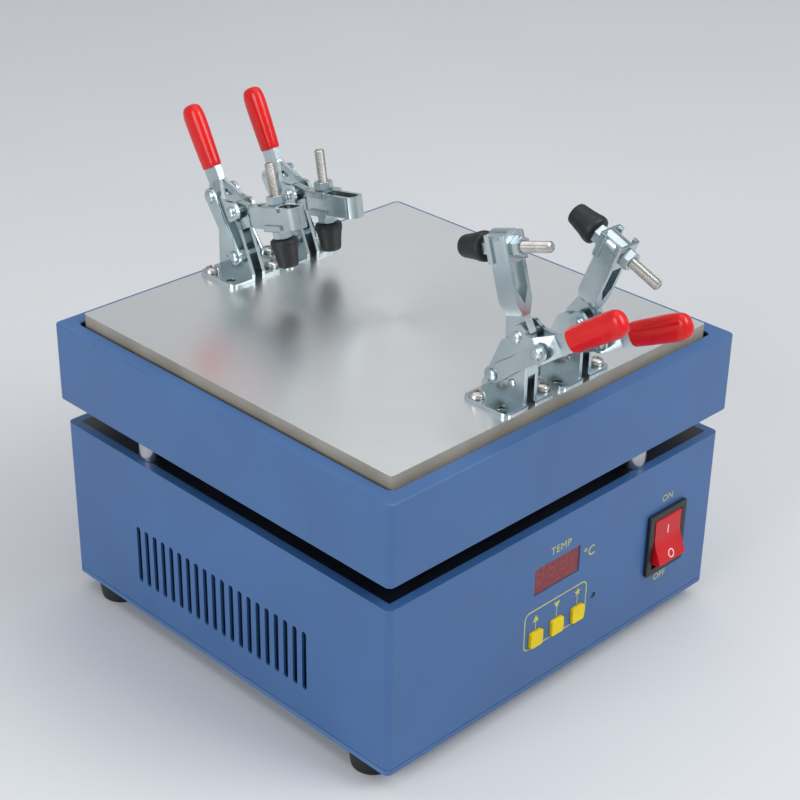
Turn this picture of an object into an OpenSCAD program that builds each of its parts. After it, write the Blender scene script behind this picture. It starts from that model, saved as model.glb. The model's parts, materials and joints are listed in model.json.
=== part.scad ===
// Screen separator: a square heated plate on a control case, with four vertical toggle clamps.
// X runs along the front panel, the panel faces -Y, Z is up, and the origin is the middle of the plate's top.

/* [Case] */
// How much smaller than the tray the case is, on each side
case_inset = 2; // [1:0.5:3]
// Height of the case, cover and base pan together
case_h = 83; // [78:1:95]
// Thickness of the case's sheet metal
case_sheet = 1.2; // [1:0.1:1.6]
// Radius of the case's upright edges
case_corner_r = 3; // [2:0.5:5]
// Height of the base pan's rim that shows under the cover
pan_rim_h = 2.4; // [2:0.1:4]
// Open seam between the cover and the pan
seam = 0.3; // [0.2:0.05:0.5]
// Height of the rubber feet
foot_h = 9; // [6:1:14]
// Widest diameter of a foot
foot_d = 22; // [20:1:22]
// Distance of a foot's centre from the case's left or right side
foot_inset_x = 11; // [11:0.5:20]
// Distance of a foot's centre from the case's front or rear side
foot_inset_y = 19.5; // [18:0.5:30]

/* [Vents] */
// Number of vent slots in each side wall
vent_count = 20; // [10:1:22]
// Distance from slot to slot
vent_pitch = 6; // [5.5:0.1:6.5]
// Width of a vent slot
vent_w = 2.8; // [2:0.1:3.5]
// Height of a vent slot
vent_h = 30; // [20:1:40]
// Height of the slots' middle above the underside of the case
vent_z = 32.5; // [28:0.5:36]

/* [Tray and plate] */
// Open gap between the case and the tray
gap_h = 12.4; // [8:0.2:20]
// Open gap between the plate and the tray's rim
plate_gap = 2; // [1.5:0.1:3]
// Height of the tray
tray_h = 38.6; // [36:0.2:46]
// Width of the tray's top rim
rim_w = 8; // [6:0.5:9]
// Side of the square hot plate
plate_side = 200; // [196:1:210]
// Thickness of the hot plate
plate_t = 20; // [18:1:22]
// Height of the plate's top above the tray's rim
plate_proud = 4.8; // [3:0.2:6]
// Radius of the plate's upright edges
plate_corner_r = 1.5; // [1:0.5:3]
// Diameter of a heating rod
rod_d = 12; // [9.5:0.5:12]
// Distance of a rod from the plate's middle, the inner pair
rod_inner_x = 18; // [17:0.5:19]
// Distance of a rod from the plate's middle, the outer pair
rod_outer_x = 66; // [50:1:72]

/* [Standoffs] */
// Diameter of a standoff
standoff_d = 12.7; // [10:0.1:16]
// Distance of a standoff from the middle, the near coordinate
standoff_near = 55; // [40:1:70]
// Distance of a standoff's middle from the side of the case
standoff_edge = 9; // [8.5:0.5:12]

/* [Front panel] */
// Width of the display window
display_w = 30; // [26:1:34]
// Height of the display window
display_h = 13.6; // [10:0.2:16]
// Place of the display's middle along X
display_x = -4.6; // [-10:0.2:0]
// Height of the display's middle above the underside of the case
display_z = 56; // [52:0.5:60]
// Side of a button
button_side = 8; // [6:0.5:9]
// Distance from button to button
button_pitch = 14; // [12:0.5:16]
// Place of the middle button along X
button_x = -3.4; // [-8:0.2:2]
// Height of the buttons above the underside of the case
button_z = 26.5; // [22:0.5:30]
// How far a button stands out of the panel
button_proud = 1.6; // [1:0.1:2.5]
// Travel of a button
button_travel = 0.8; // [0.4:0.1:0.9]
// Diameter of the status light
led_d = 3; // [2:0.5:4]
// Place of the status light along X
led_x = 22; // [18:0.5:26]
// Height of the status light above the underside of the case
led_z = 30.7; // [26:0.5:34]
// Width of the switch bezel
switch_w = 27; // [25:0.5:30]
// Height of the switch bezel
switch_h = 33; // [30:0.5:36]
// Place of the switch along X
switch_x = 72.2; // [66:0.2:78]
// Height of the switch above the underside of the case
switch_z = 40; // [36:0.5:44]
// Tilt of the rocker to each side
rocker_tilt = 11; // [8:0.5:12]

/* [Clamps] */
// Distance of a clamp's middle from the plate's middle, along X
clamp_x = 17.5; // [17:0.5:20]
// Distance of a clamp's middle from the plate's edge
clamp_edge = 13.5; // [13:0.5:20]
// Angle that the rear left bar is raised by
rear_left_raise = 15; // [0:1:100]
// Angle that the rear right bar is raised by
rear_right_raise = 10; // [0:1:100]
// Angle that the front left bar is raised by
front_left_raise = 73; // [0:1:110]
// Angle that the front right bar is raised by
front_right_raise = 112; // [0:1:112]
// Backward lean of the rear left handle
rear_left_lean = 29.5; // [0:0.5:70]
// Backward lean of the rear right handle
rear_right_lean = 26.5; // [0:0.5:70]
// Backward lean of the front left handle
front_left_lean = 55; // [0:1:75]
// Backward lean of the front right handle
front_right_lean = 63; // [0:1:75]
// Width of a clamp's base, over both feet
base_w = 32; // [30:0.5:34]
// Depth of a clamp's base
base_d = 25; // [24:0.5:28]
// Thickness of the clamp's sheet metal
clamp_sheet = 1.8; // [1.5:0.1:1.9]
// Length of the bar, from its pivot to its round end
bar_length = 49.5; // [48:0.5:56]
// Height of the bar
bar_h = 10; // [9:0.5:11]
// Width of the bar's slot
slot_w = 6; // [5.5:0.1:6.5]
// Length of the grip
grip_length = 31; // [28:1:36]
// Diameter of the spindle
spindle_d = 4.8; // [4:0.1:5]
// Length of thread that shows above the upper nut
thread_out = 15; // [10:1:20]
// Length of the rubber tip
tip_h = 13.5; // [11:0.5:13.8]
// Widest diameter of the rubber tip
tip_d = 13; // [11:0.5:14]

/* [Hidden] */
$fn = 48;

// Overrun of cuts, and steps in a rounded corner of an outline
over = 1;
arc_steps = 6;

// Clearances
fit_gap = 0.05;
slide_gap = 0.2;
loose_gap = 0.5;

// Sides of the tray and the case
tray_side = plate_side + 2 * (plate_gap + rim_w);
case_side = tray_side - 2 * case_inset;
standoff_far = case_side / 2 - standoff_edge;
clamp_y = plate_side / 2 - clamp_edge;

// Heights of the stack
ground_z = -(foot_h + case_h + gap_h + tray_h + plate_proud);
case_z = ground_z + foot_h;
cover_z = case_z + pan_rim_h + seam;
case_top = case_z + case_h;
tray_z = case_top + gap_h;
tray_top = tray_z + tray_h;
plate_top = tray_top + plate_proud;
plate_bottom = plate_top - plate_t;
floor_top = tray_z + case_sheet;
front_y = -case_side / 2;
rear_y = case_side / 2;
panel_back_y = front_y + case_sheet;

// Base pan, feet and screws of the case
lip_w = 12;
pad_r = 6;
screw_r = 2;
head_r = 3.6;
head_h = 2.6;
drive_r = 1.3;
drive_depth = 1.4;
foot_taper = 1.2;
foot_recess_r = 5;
foot_recess_h = 4;
foot_x = case_side / 2 - foot_inset_x;
foot_y = case_side / 2 - foot_inset_y;
lid_screw_inset = 28;
lid_screw_x = case_side / 2 - lid_screw_inset;
lid_screw_y = case_side / 2 - lip_w / 2 - case_sheet;

// Standoff bolts
bolt_r = 2.5;
bolt_head_r = 4.4;
bolt_head_h = 2.8;
nut_r = 4.6;
nut_h = 4;
washer_r = 5;
washer_h = 1;

// Plate posts, insulation and probe
post_r = 5;
wool_edge = 6;
post_edge = 16;
post_x = plate_side / 2 - post_edge;
wool_side = plate_side - 2 * wool_edge;
wool_gap = 0.3;
probe_r = 2;
probe_length = 40;
probe_x = 42;
rod_end = 2;
rod_blind = 10;
heater_drop = 1;
heater_z = plate_top - plate_t / 2 - heater_drop;

// Front panel
frame_r = 0.6;
button_r = 1.2;
button_flange = 1;
button_stem = 2;
window_t = 2;
window_lip = 1.5;
bezel_lip = 2.4;
bezel_t = 2;
switch_depth = 20;
rocker_gap = 0.4;
rocker_r = 12;
module_depth = 9;
board_t = 1.6;
board_w = 96;
board_h = 58;
board_post_r = 3;
board_post_x = 42;
board_post_z = 23;
switch_body = 6;
switch_body_h = 4;
post_head_h = 1.4;

window_back_y = panel_back_y + window_t;
button_back_y = panel_back_y + button_flange + button_travel + slide_gap;
stem_end_y = button_back_y + button_stem;
board_y = stem_end_y + switch_body_h + fit_gap;
board_x = display_x;
board_z = case_z + (display_z + button_z) / 2;

// Rocker
rocker_w = switch_w - 2 * bezel_lip - 2 * case_sheet - 2 * rocker_gap;
rocker_h = switch_h - 2 * bezel_lip - 2 * case_sheet - 2 * rocker_gap;
axle_in = 3.5;
rocker_axis_y = front_y + axle_in;
rocker_front = 8;
rocker_back = 6;
rocker_hollow = 2.2;
axle_r = 1.5;
rocker_edge_r = 0.6;
rocker_side_r = 1.5;
rocker_back_r = 1;

// Rear wall and transformer
inlet_edge = 38;
inlet_x = inlet_edge - case_side / 2;
inlet_w = 33;
inlet_h = 36;
inlet_rise = 34;
inlet_z = case_z + inlet_rise;
socket_r = 1;
inlet_lip = 2.5;
inlet_flange = 2.5;
inlet_depth = 22;
socket_w = 24.5;
socket_h = 17;
socket_depth = 17;
socket_z = 6;
drawer_w = 20;
drawer_h = 8;
drawer_z = -10.5;
drawer_depth = 18;
pin_w = 4;
pin_t = 2;
pin_length = 12;
pin_pitch = 7;
pin_rise = 3;
finger_t = 1.2;
core_w = 48;
core_d = 26;
core_h = 40;
coil_w = 30;
coil_d = 40;
coil_h = 26;
coil_r = 5;
foot_tab = 10;
core_x = 45;
core_y = 40;

// Clamp pivots, seen along X, from the middle of the clamp's base: [towards the work, up]
bar_pivot = [-3.3, 25.4];
link_pivot = [3.8, 11.3];
spot_rivet = [-4.5, 9.4];
// Handle pivot in the bar's frame and link pivot in the handle's frame: [work side, up the handle]
handle_pivot = [5.2, 5.8];
link_eye = [-9, 9.8];
bar_rise = 3.2;
link_length = 30.2;
pin_r = 1.75;
rivet_head_r = 2.9;
rivet_head_h = 0.9;
eye_r = 4.2;
boss_r = 3.2;
joint_head_r = 2.6;

// Layers of the clamp, from its middle plane outwards
neck_half = 2;
cheek_in = neck_half + slide_gap;
cheek_out = cheek_in + clamp_sheet;
fork_in = cheek_out + slide_gap;
fork_out = fork_in + clamp_sheet;
link_sheet = 1.5;
link_in = fork_out + slide_gap;
link_out = link_in + link_sheet;
arm_out = slot_w / 2 + clamp_sheet;

// Base plates
base_hole_x = 12.5;
base_hole_y = 7;
base_hole_r = 2.25;
base_corner_r = 3;
cheek_rear_h = 21.5;
cheek_front_h = 2;
cheek_front_r = 1.5;
cheek_lap = 1.4;
cheek_shoulder = 2;
cheek_crown = 1;
cheek_rise = 0.8;
cheek_rear_in = 1;
foot_bend_r = 2.2;
tab_w = 2;
tab_h = 6;
tab_drop = 1.2;
tab_reach = 2.2;
tab_slope = 1.4;

// Bar
neck_length = 13;
flare_length = 6;
slot_start = 18;
eye_corner_r = 3.8;
bar_bend_r = 2;
bar_ear_r = 3;
bar_ear_drop = 1;
bar_heel = 1;

// Handle and grip
shank_x = -9.5;
shank_w = 9;
fork_h = 8;
shank_start = 16.5;
grip_start = 23;
grip_w = 12;
grip_t = 8.4;
grip_skin = 1.4;
grip_lip = 1;
ear_lap = 0.6;
ear_rise = 3.4;
ear_r = 2.6;
neck_in = 3.2;
neck_h = 6;
neck_r = 6;
heel_h = 5.5;
heel_r = 4;
link_waist = 1;
link_waist_r = 20;
shank_end = grip_start + grip_length - grip_t / 2 - grip_skin;

// Spindle set
spindle_nut_h = 4;
spindle_nut_r = 4.6;
flange_t = 1.1;
flange_side = 12;
flange_lip = 2;
tip_taper = 1.7;
tip_round = 1.6;
tip_bore = 9;
tip_top_r = 0.4;
tip_side_r = 0.6;
tip_end_r = 1;
stack_h = bar_h / 2 + flange_t + spindle_nut_h;
tip_top = -stack_h - slide_gap;

// Clamp screws
clamp_screw_l = 9;
clamp_head_r = 3.5;
clamp_head_h = 2.7;
head_round_share = 0.6;

// Each base is held at two opposite holes; the other two stay open
screw_places = [[-1, 1], [1, -1]];

// One row a clamp: side of X, side of Y, raise, lean, and the spindle's place along the bar
station_shares = [0.454, 0.072, 0.861, 0.945];
slot_run = [slot_start + flare_length, bar_length - arm_out];
function station(i) = slot_run[0] + (slot_run[1] - slot_run[0]) * station_shares[i];
rear_left = [-1, 1, rear_left_raise, rear_left_lean, station(0)];
rear_right = [1, 1, rear_right_raise, rear_right_lean, station(1)];
front_left = [-1, -1, front_left_raise, front_left_lean, station(2)];
front_right = [1, -1, front_right_raise, front_right_lean, station(3)];
clamps = [rear_left, rear_right, front_left, front_right];

// Colours
blue = "#4a74b0";
zinc = "#a9b6b5";
steel = "#b9b7ae";
aluminium = "#c8c8c6";
red = "#c8201e";
rubber = "#1b1d1e";
yellow = "#e0c822";
board_green = "#1f6a3c";
brass = "#c9a455";

// Rounded outlines: each corner is [x, y, radius]
function unit(v) = v / norm(v);
function corner(a, b, c) =
  let (
    p = [b.x, b.y],
    back = unit([a.x, a.y] - p),
    on = unit([c.x, c.y] - p),
    half = acos(back * on) / 2,
    centre = p + unit(back + on) * b.z / sin(half),
    from = p + back * b.z / tan(half) - centre,
    start = atan2(from.y, from.x),
    sweep = (180 - 2 * half) * (back.x * on.y - back.y * on.x > 0 ? -1 : 1)
  )
  b.z == 0 ? [p] :
  [for (i = [0:arc_steps]) centre + b.z * [cos(start + sweep * i / arc_steps),
    sin(start + sweep * i / arc_steps)]];
function rounded(pts) =
  let (n = len(pts))
  [for (i = [0:n - 1]) each corner(pts[(i + n - 1) % n], pts[i], pts[(i + 1) % n])];
function turned(p, angle) = [p.x * cos(angle) - p.y * sin(angle), p.x * sin(angle) + p.y * cos(angle)];

// A sheet seen along X: its outline lies in the Y-Z plane and it runs from x0 to x1
module sheet_x(x0, x1) {
  translate([x0, 0, 0])
    rotate([90, 0, 90])
      linear_extrude(x1 - x0)
        children();
}

// A sheet seen along Y: its outline lies in the X-Z plane and it runs from y0 to y1
module sheet_y(y0, y1) {
  translate([0, y1, 0])
    rotate([90, 0, 0])
      linear_extrude(y1 - y0)
        children();
}

module square_outline(side, r) {
  h = side / 2;
  polygon(rounded([[-h, -h, r], [h, -h, r], [h, h, r], [-h, h, r]]));
}

module box_outline(w, h, r) {
  polygon(rounded([[-w / 2, -h / 2, r], [w / 2, -h / 2, r], [w / 2, h / 2, r], [-w / 2, h / 2, r]]));
}

module slab(side, r, z0, z1) {
  translate([0, 0, z0])
    linear_extrude(z1 - z0)
      square_outline(side, r);
}

module at_corners(x, y) {
  for (sx = [-1, 1], sy = [-1, 1])
    translate([sx * x, sy * y, 0])
      children();
}

// Places of the four standoffs, each near the middle of one side
standoff_places = [
  [-standoff_far, standoff_near], [standoff_near, -standoff_far],
  [standoff_far, -standoff_near], [-standoff_near, standoff_far]
];

module at_standoffs() {
  for (p = standoff_places)
    translate([p.x, p.y, 0])
      children();
}

module pin(r, z0, z1) {
  translate([0, 0, z0])
    cylinder(r = r, h = z1 - z0);
}

// Control case

module base_pan() {
  color(blue) {
    difference() {
      slab(case_side, case_corner_r, case_z, case_z + pan_rim_h);
      slab(case_side - 2 * case_sheet, case_corner_r - case_sheet, case_z + case_sheet, cover_z);
      at_corners(foot_x, foot_y)
        pin(screw_r + fit_gap, case_z - over, cover_z);
      at_corners(lid_screw_x, lid_screw_y)
        pin(screw_r + fit_gap, case_z - over, cover_z);
    }
    at_corners(lid_screw_x, lid_screw_y)
      difference() {
        pin(lip_w / 2 - loose_gap, case_z + case_sheet, cover_z);
        pin(screw_r + fit_gap, case_z, cover_z + over);
      }
  }
}

module vent_slots() {
  z = case_z + vent_z;
  reach = (vent_h - vent_w) / 2;
  for (i = [0:vent_count - 1], sx = [-1, 1])
    translate([sx * case_side / 2, (i - (vent_count - 1) / 2) * vent_pitch, z]) {
      cube([3 * case_sheet, vent_w, 2 * reach], center = true);
      for (end = [-1, 1])
        translate([0, 0, end * reach])
          rotate([0, 90, 0])
            cylinder(d = vent_w, h = 3 * case_sheet, center = true, $fn = 16);
    }
}

module panel_cuts() {
  sheet_y(front_y - over, panel_back_y + over) {
    translate([display_x, case_z + display_z])
      box_outline(display_w, display_h, frame_r);
    for (i = [-1, 0, 1])
      translate([button_x + i * button_pitch, case_z + button_z])
        box_outline(button_side + 2 * slide_gap, button_side + 2 * slide_gap, button_r);
    translate([switch_x, case_z + switch_z])
      square([switch_w - 2 * bezel_lip, switch_h - 2 * bezel_lip], center = true);
  }
  translate([led_x, front_y, case_z + led_z])
    rotate([90, 0, 0])
      cylinder(d = led_d + 2 * fit_gap, h = 3 * case_sheet, center = true);
}

module inlet_cut() {
  sheet_y(rear_y - case_sheet - over, rear_y + over)
    translate([inlet_x, inlet_z])
      square([inlet_w - 2 * inlet_lip, inlet_h - 2 * inlet_lip], center = true);
}

module case_cover() {
  color(blue)
    difference() {
      slab(case_side, case_corner_r, cover_z, case_top);
      slab(case_side - 2 * case_sheet, case_corner_r - case_sheet, cover_z + case_sheet, case_top - case_sheet);
      slab(case_side - 2 * lip_w, case_corner_r, cover_z - over, cover_z + 2 * case_sheet);
      vent_slots();
      panel_cuts();
      inlet_cut();
      at_corners(lid_screw_x, lid_screw_y)
        pin(screw_r + fit_gap, cover_z - over, cover_z + 2 * case_sheet);
      at_standoffs()
        pin(bolt_r + fit_gap, case_top - 2 * case_sheet, case_top + over);
    }
}

module feet() {
  color(rubber)
    at_corners(foot_x, foot_y)
      translate([0, 0, ground_z])
        difference() {
          rotate_extrude()
            polygon(rounded([[0, 0, 0], [foot_d / 2 - foot_taper, 0, foot_taper],
              [foot_d / 2, foot_h, 0], [0, foot_h, 0]]));
          pin(screw_r + fit_gap, -over, foot_h + over);
          pin(foot_recess_r, -over, foot_recess_h);
        }
}

// A pan-head screw that points up, with its head's underside at z = 0
module pan_screw(r, length, head_r, head_h) {
  difference() {
    union() {
      pin(r, 0, length);
      translate([0, 0, -head_h])
        rotate_extrude()
          polygon(rounded([[0, 0, 0], [head_r, 0, head_h * head_round_share], [head_r, head_h, 0], [0, head_h, 0]]));
    }
    for (a = [0, 90])
      rotate([0, 0, a])
        translate([0, 0, drive_depth / 2 - head_h - over / 2])
          cube([2 * drive_r, drive_r / 2, drive_depth + over], center = true);
  }
}

module case_screws() {
  color(steel) {
    at_corners(foot_x, foot_y)
      translate([0, 0, ground_z + foot_recess_h])
        pan_screw(screw_r, foot_h + 2 * case_sheet - foot_recess_h, head_r, head_h);
    at_corners(lid_screw_x, lid_screw_y)
      translate([0, 0, case_z])
        pan_screw(screw_r, cover_z - case_z + 3 * case_sheet, head_r, head_h);
  }
}

module standoffs() {
  color(aluminium)
    at_standoffs()
      difference() {
        pin(standoff_d / 2, case_top, tray_z);
        pin(bolt_r + fit_gap, case_top - over, tray_z + over);
      }
}

module hex_nut(r, h, bore) {
  difference() {
    cylinder(r = r, h = h, $fn = 6);
    translate([0, 0, -over])
      cylinder(r = bore, h = h + 2 * over);
  }
}

module standoff_bolts() {
  under = case_top - case_sheet - washer_h - nut_h;
  color(steel)
    at_standoffs() {
      translate([0, 0, floor_top])
        mirror([0, 0, 1])
          pan_screw(bolt_r, floor_top - under + washer_h, bolt_head_r, bolt_head_h);
      translate([0, 0, under])
        hex_nut(nut_r, nut_h, bolt_r + fit_gap);
      difference() {
        pin(washer_r, under + nut_h, under + nut_h + washer_h);
        pin(bolt_r + fit_gap, under, under + nut_h + 2 * washer_h);
      }
    }
}

// Hot-plate tray

module tray_floor() {
  color(blue)
    difference() {
      slab(tray_side - 2 * case_sheet - 2 * fit_gap, case_corner_r - case_sheet, tray_z, floor_top);
      at_standoffs()
        pin(bolt_r + fit_gap, tray_z - over, floor_top + over);
    }
}

module tray() {
  color(blue)
    difference() {
      slab(tray_side, case_corner_r, tray_z, tray_top);
      slab(tray_side - 2 * case_sheet, case_corner_r - case_sheet, tray_z - over, tray_top - case_sheet);
      slab(tray_side - 2 * rim_w, case_corner_r, tray_z, tray_top + over);
    }
}

module plate_posts() {
  color("#d9d2c0")
    at_corners(post_x, post_x)
      pin(post_r, floor_top, plate_bottom);
}

module insulation() {
  color("#e6e0d0")
    difference() {
      slab(wool_side, case_corner_r, floor_top, plate_bottom - wool_gap);
      at_corners(post_x, post_x)
        pin(post_r + loose_gap, tray_z, plate_bottom);
      at_standoffs()
        pin(bolt_head_r + loose_gap, tray_z, floor_top + bolt_head_h + loose_gap);
    }
}

function rod_places() = [-rod_outer_x, -rod_inner_x, rod_inner_x, rod_outer_x];

module along_y(x, z, y0, y1, r) {
  translate([x, y1, z])
    rotate([90, 0, 0])
      cylinder(r = r, h = y1 - y0);
}

module at_clamps(list) {
  for (c = list)
    translate([c[0] * clamp_x, c[1] * clamp_y, plate_top])
      rotate([0, 0, c[1] > 0 ? 180 : 0])
        children();
}

module at_base_holes() {
  at_corners(base_hole_x, base_hole_y)
    children();
}

module hot_plate() {
  color(aluminium)
    difference() {
      slab(plate_side, plate_corner_r, plate_bottom, plate_top);
      for (x = rod_places())
        along_y(x, heater_z, rod_blind - plate_side / 2, plate_side / 2 + over, rod_d / 2 + fit_gap);
      along_y(probe_x, heater_z, plate_side / 2 - probe_length, plate_side / 2 + over, probe_r + fit_gap);
      at_clamps(clamps)
        at_base_holes()
          pin(screw_r + fit_gap, -clamp_screw_l - over, over);
    }
}

module heating_rods() {
  color(steel)
    for (x = rod_places())
      along_y(x, heater_z, rod_blind - plate_side / 2, plate_side / 2 - rod_end, rod_d / 2);
}

module thermocouple() {
  color(steel)
    along_y(probe_x, heater_z, plate_side / 2 - probe_length, plate_side / 2, probe_r);
}

// Front panel

module display_window() {
  color("#5a1512")
    translate([display_x, 0, case_z + display_z]) {
      sheet_y(front_y + loose_gap, panel_back_y)
        box_outline(display_w - 2 * fit_gap, display_h - 2 * fit_gap, frame_r);
      sheet_y(panel_back_y, window_back_y)
        box_outline(display_w + 2 * window_lip, display_h + 2 * window_lip, frame_r);
    }
}

module display_module() {
  color("#202224")
    sheet_y(window_back_y, board_y)
      translate([display_x, case_z + display_z])
        box_outline(display_w, display_h, frame_r);
}

module control_board() {
  color(board_green)
    difference() {
      sheet_y(board_y, board_y + board_t)
        translate([board_x, board_z])
          box_outline(board_w, board_h, button_r);
      for (sx = [-1, 1], sz = [-1, 1])
        along_y(board_x + sx * board_post_x, board_z + sz * board_post_z, board_y - over,
          board_y + board_t + over, screw_r / 2);
    }
  color(brass)
    for (sx = [-1, 1], sz = [-1, 1])
      along_y(board_x + sx * board_post_x, board_z + sz * board_post_z, panel_back_y, board_y, board_post_r);
}

module tact_switches() {
  color("#2a2c2e")
    for (i = [-1, 0, 1])
      sheet_y(board_y - switch_body_h, board_y)
        translate([button_x + i * button_pitch, case_z + button_z])
          square([switch_body, switch_body], center = true);
}

module button(i) {
  color(yellow)
    translate([button_x + i * button_pitch, 0, case_z + button_z]) {
      sheet_y(front_y - button_proud, panel_back_y + slide_gap)
        box_outline(button_side, button_side, button_r);
      sheet_y(panel_back_y + slide_gap, panel_back_y + slide_gap + button_flange)
        box_outline(button_side + 2 * button_flange, button_side + 2 * button_flange, button_r);
      sheet_y(panel_back_y + button_flange, stem_end_y - button_travel - slide_gap)
        square([button_stem, button_stem], center = true);
    }
}

module up_button() { button(-1); }
module down_button() { button(0); }
module set_button() { button(1); }

module status_led() {
  color("#26130f")
    translate([led_x, 0, case_z + led_z]) {
      along_y(0, 0, front_y + loose_gap, board_y, led_d / 2);
      along_y(0, 0, panel_back_y + fit_gap, panel_back_y + button_flange, led_d / 2 + loose_gap);
    }
}

module switch_housing() {
  inner_w = switch_w - 2 * bezel_lip;
  inner_h = switch_h - 2 * bezel_lip;
  wall = case_sheet;
  color("#17181a")
    translate([switch_x, 0, case_z + switch_z])
      difference() {
        union() {
          sheet_y(front_y - bezel_t, front_y)
            box_outline(switch_w, switch_h, button_r);
          sheet_y(front_y - fit_gap, front_y + switch_depth)
            square([inner_w - 2 * fit_gap, inner_h - 2 * fit_gap], center = true);
        }
        sheet_y(front_y - bezel_t - over, front_y + switch_depth - wall)
          square([inner_w - 2 * wall, inner_h - 2 * wall], center = true);
      }
}

module rocker() {
  tip = rocker_h / 2 * cos(rocker_tilt) - 2 * rocker_gap;
  color(red)
    translate([switch_x, rocker_axis_y, case_z + switch_z])
      rotate([-rocker_tilt, 0, 0])
          sheet_x(-rocker_w / 2, rocker_w / 2)
            polygon(rounded([
              [-rocker_front, -tip, rocker_edge_r], [rocker_hollow - rocker_front, 0, rocker_r],
              [-rocker_front, tip, rocker_edge_r], [0, tip, rocker_side_r],
              [rocker_back, tip / 4, rocker_back_r], [rocker_back, -tip / 4, rocker_back_r],
              [0, -tip, rocker_side_r]
            ]));
  color(red)
    translate([switch_x, rocker_axis_y, case_z + switch_z])
      rotate([0, 90, 0])
        cylinder(r = axle_r, h = rocker_w + 2 * rocker_gap - 2 * fit_gap, center = true);
}

// Rear wall and inside of the case

module power_inlet() {
  color("#17181a")
    translate([inlet_x, 0, inlet_z])
      difference() {
        union() {
          sheet_y(rear_y, rear_y + inlet_flange)
            box_outline(inlet_w, inlet_h, button_r);
          sheet_y(rear_y - inlet_depth, rear_y + fit_gap)
            square([inlet_w - 2 * inlet_lip - 2 * fit_gap, inlet_h - 2 * inlet_lip - 2 * fit_gap], center = true);
        }
        sheet_y(rear_y + inlet_flange - socket_depth, rear_y + inlet_flange + over)
          translate([0, socket_z])
            polygon(rounded([
              [-socket_w / 2, -socket_h / 2, socket_r], [socket_w / 2, -socket_h / 2, socket_r],
              [socket_w / 2, socket_h / 5, socket_r], [socket_w / 3, socket_h / 2, socket_r],
              [-socket_w / 3, socket_h / 2, socket_r], [-socket_w / 2, socket_h / 5, socket_r]
            ]));
        sheet_y(rear_y + inlet_flange - drawer_depth, rear_y + inlet_flange + over)
          translate([0, drawer_z])
            square([drawer_w, drawer_h], center = true);
      }
  color(brass)
    translate([inlet_x, 0, inlet_z + socket_z])
      for (i = [-1, 0, 1])
        translate([i * pin_pitch, 0, i == 0 ? pin_rise : -pin_rise])
          sheet_y(rear_y + inlet_flange - socket_depth - fit_gap, rear_y + inlet_flange - socket_depth + pin_length)
            square([pin_t, pin_w], center = true);
}

module fuse_drawer() {
  color("#26282a")
    translate([inlet_x, 0, inlet_z + drawer_z]) {
      sheet_y(rear_y + inlet_flange - drawer_depth + fit_gap, rear_y + inlet_flange)
        square([drawer_w - 4 * fit_gap, drawer_h - 4 * fit_gap], center = true);
      sheet_y(rear_y + inlet_flange, rear_y + inlet_flange + fit_gap + finger_t)
        square([drawer_w / 3, drawer_h / 2], center = true);
    }
}

module transformer() {
  z0 = case_z + case_sheet;
  translate([core_x, core_y, z0]) {
    color("#8a8c8e")
      translate([-core_w / 2, -core_d / 2, 0])
        cube([core_w, core_d, core_h]);
    color("#8a8c8e")
      translate([-core_w / 2 - foot_tab, -core_d / 2, 0])
        cube([core_w + 2 * foot_tab, core_d, 2 * case_sheet]);
    color("#c9a455")
      translate([0, 0, (core_h - coil_h) / 2])
        linear_extrude(coil_h)
          box_outline(coil_w, coil_d, coil_r);
  }
}

// Toggle clamps, each drawn with its bar towards +Y and its base's middle at the origin

function bar_joint(c) = bar_pivot + turned(handle_pivot, c[2]);
function eye_place(c) = bar_joint(c) + turned([link_eye.x, link_eye.y], c[3]);
function link_angle(c) = atan2(eye_place(c).y - link_pivot.y, eye_place(c).x - link_pivot.x);

module at_clamp(c) {
  at_clamps([c])
    children();
}

module across(p, r, x0, x1) {
  translate([x0, p.x, p.y])
    rotate([0, 90, 0])
      cylinder(r = r, h = x1 - x0);
}

module in_bar(c) {
  translate([0, bar_pivot.x, bar_pivot.y])
    rotate([c[2], 0, 0])
      children();
}

module in_handle(c) {
  p = bar_joint(c);
  translate([0, p.x, p.y])
    rotate([c[3], 0, 0])
      children();
}

module cheek_outline() {
  polygon(rounded([
    [-base_d / 2, 0, 0], [base_d / 2, 0, 0], [base_d / 2, cheek_front_h + clamp_sheet, cheek_front_r],
    [bar_pivot.x + eye_r + cheek_lap, bar_pivot.y + cheek_shoulder, eye_r],
    [bar_pivot.x - cheek_crown, bar_pivot.y + eye_r + cheek_rise, boss_r],
    [cheek_rear_in - base_d / 2, cheek_rear_h, cheek_front_r],
    [cheek_rear_in - base_d / 2, clamp_sheet, 0], [-base_d / 2, clamp_sheet, 0]
  ]));
}

// The stop between the cheeks lies along the cheeks' rear slope
module stop_outline() {
  top = [cheek_rear_in - base_d / 2, cheek_rear_h - tab_drop];
  polygon([
    top, [top.x + tab_reach, top.y + tab_slope], [top.x + tab_reach, top.y + tab_slope - tab_w],
    [top.x + tab_w, top.y - tab_w], [top.x + tab_w, top.y - tab_h], [top.x, top.y - tab_h]
  ]);
}

module base_half() {
  difference() {
    union() {
      sheet_x(cheek_in, cheek_out)
        cheek_outline();
      translate([cheek_in, 0, 0])
        linear_extrude(clamp_sheet)
          polygon(rounded([
            [0, -base_d / 2, 0], [base_w / 2 - cheek_in, -base_d / 2, base_corner_r],
            [base_w / 2 - cheek_in, base_d / 2, base_corner_r], [0, base_d / 2, 0]
          ]));
    }
    at_base_holes()
      pin(base_hole_r, -over, clamp_sheet + over);
  }
}

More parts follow.
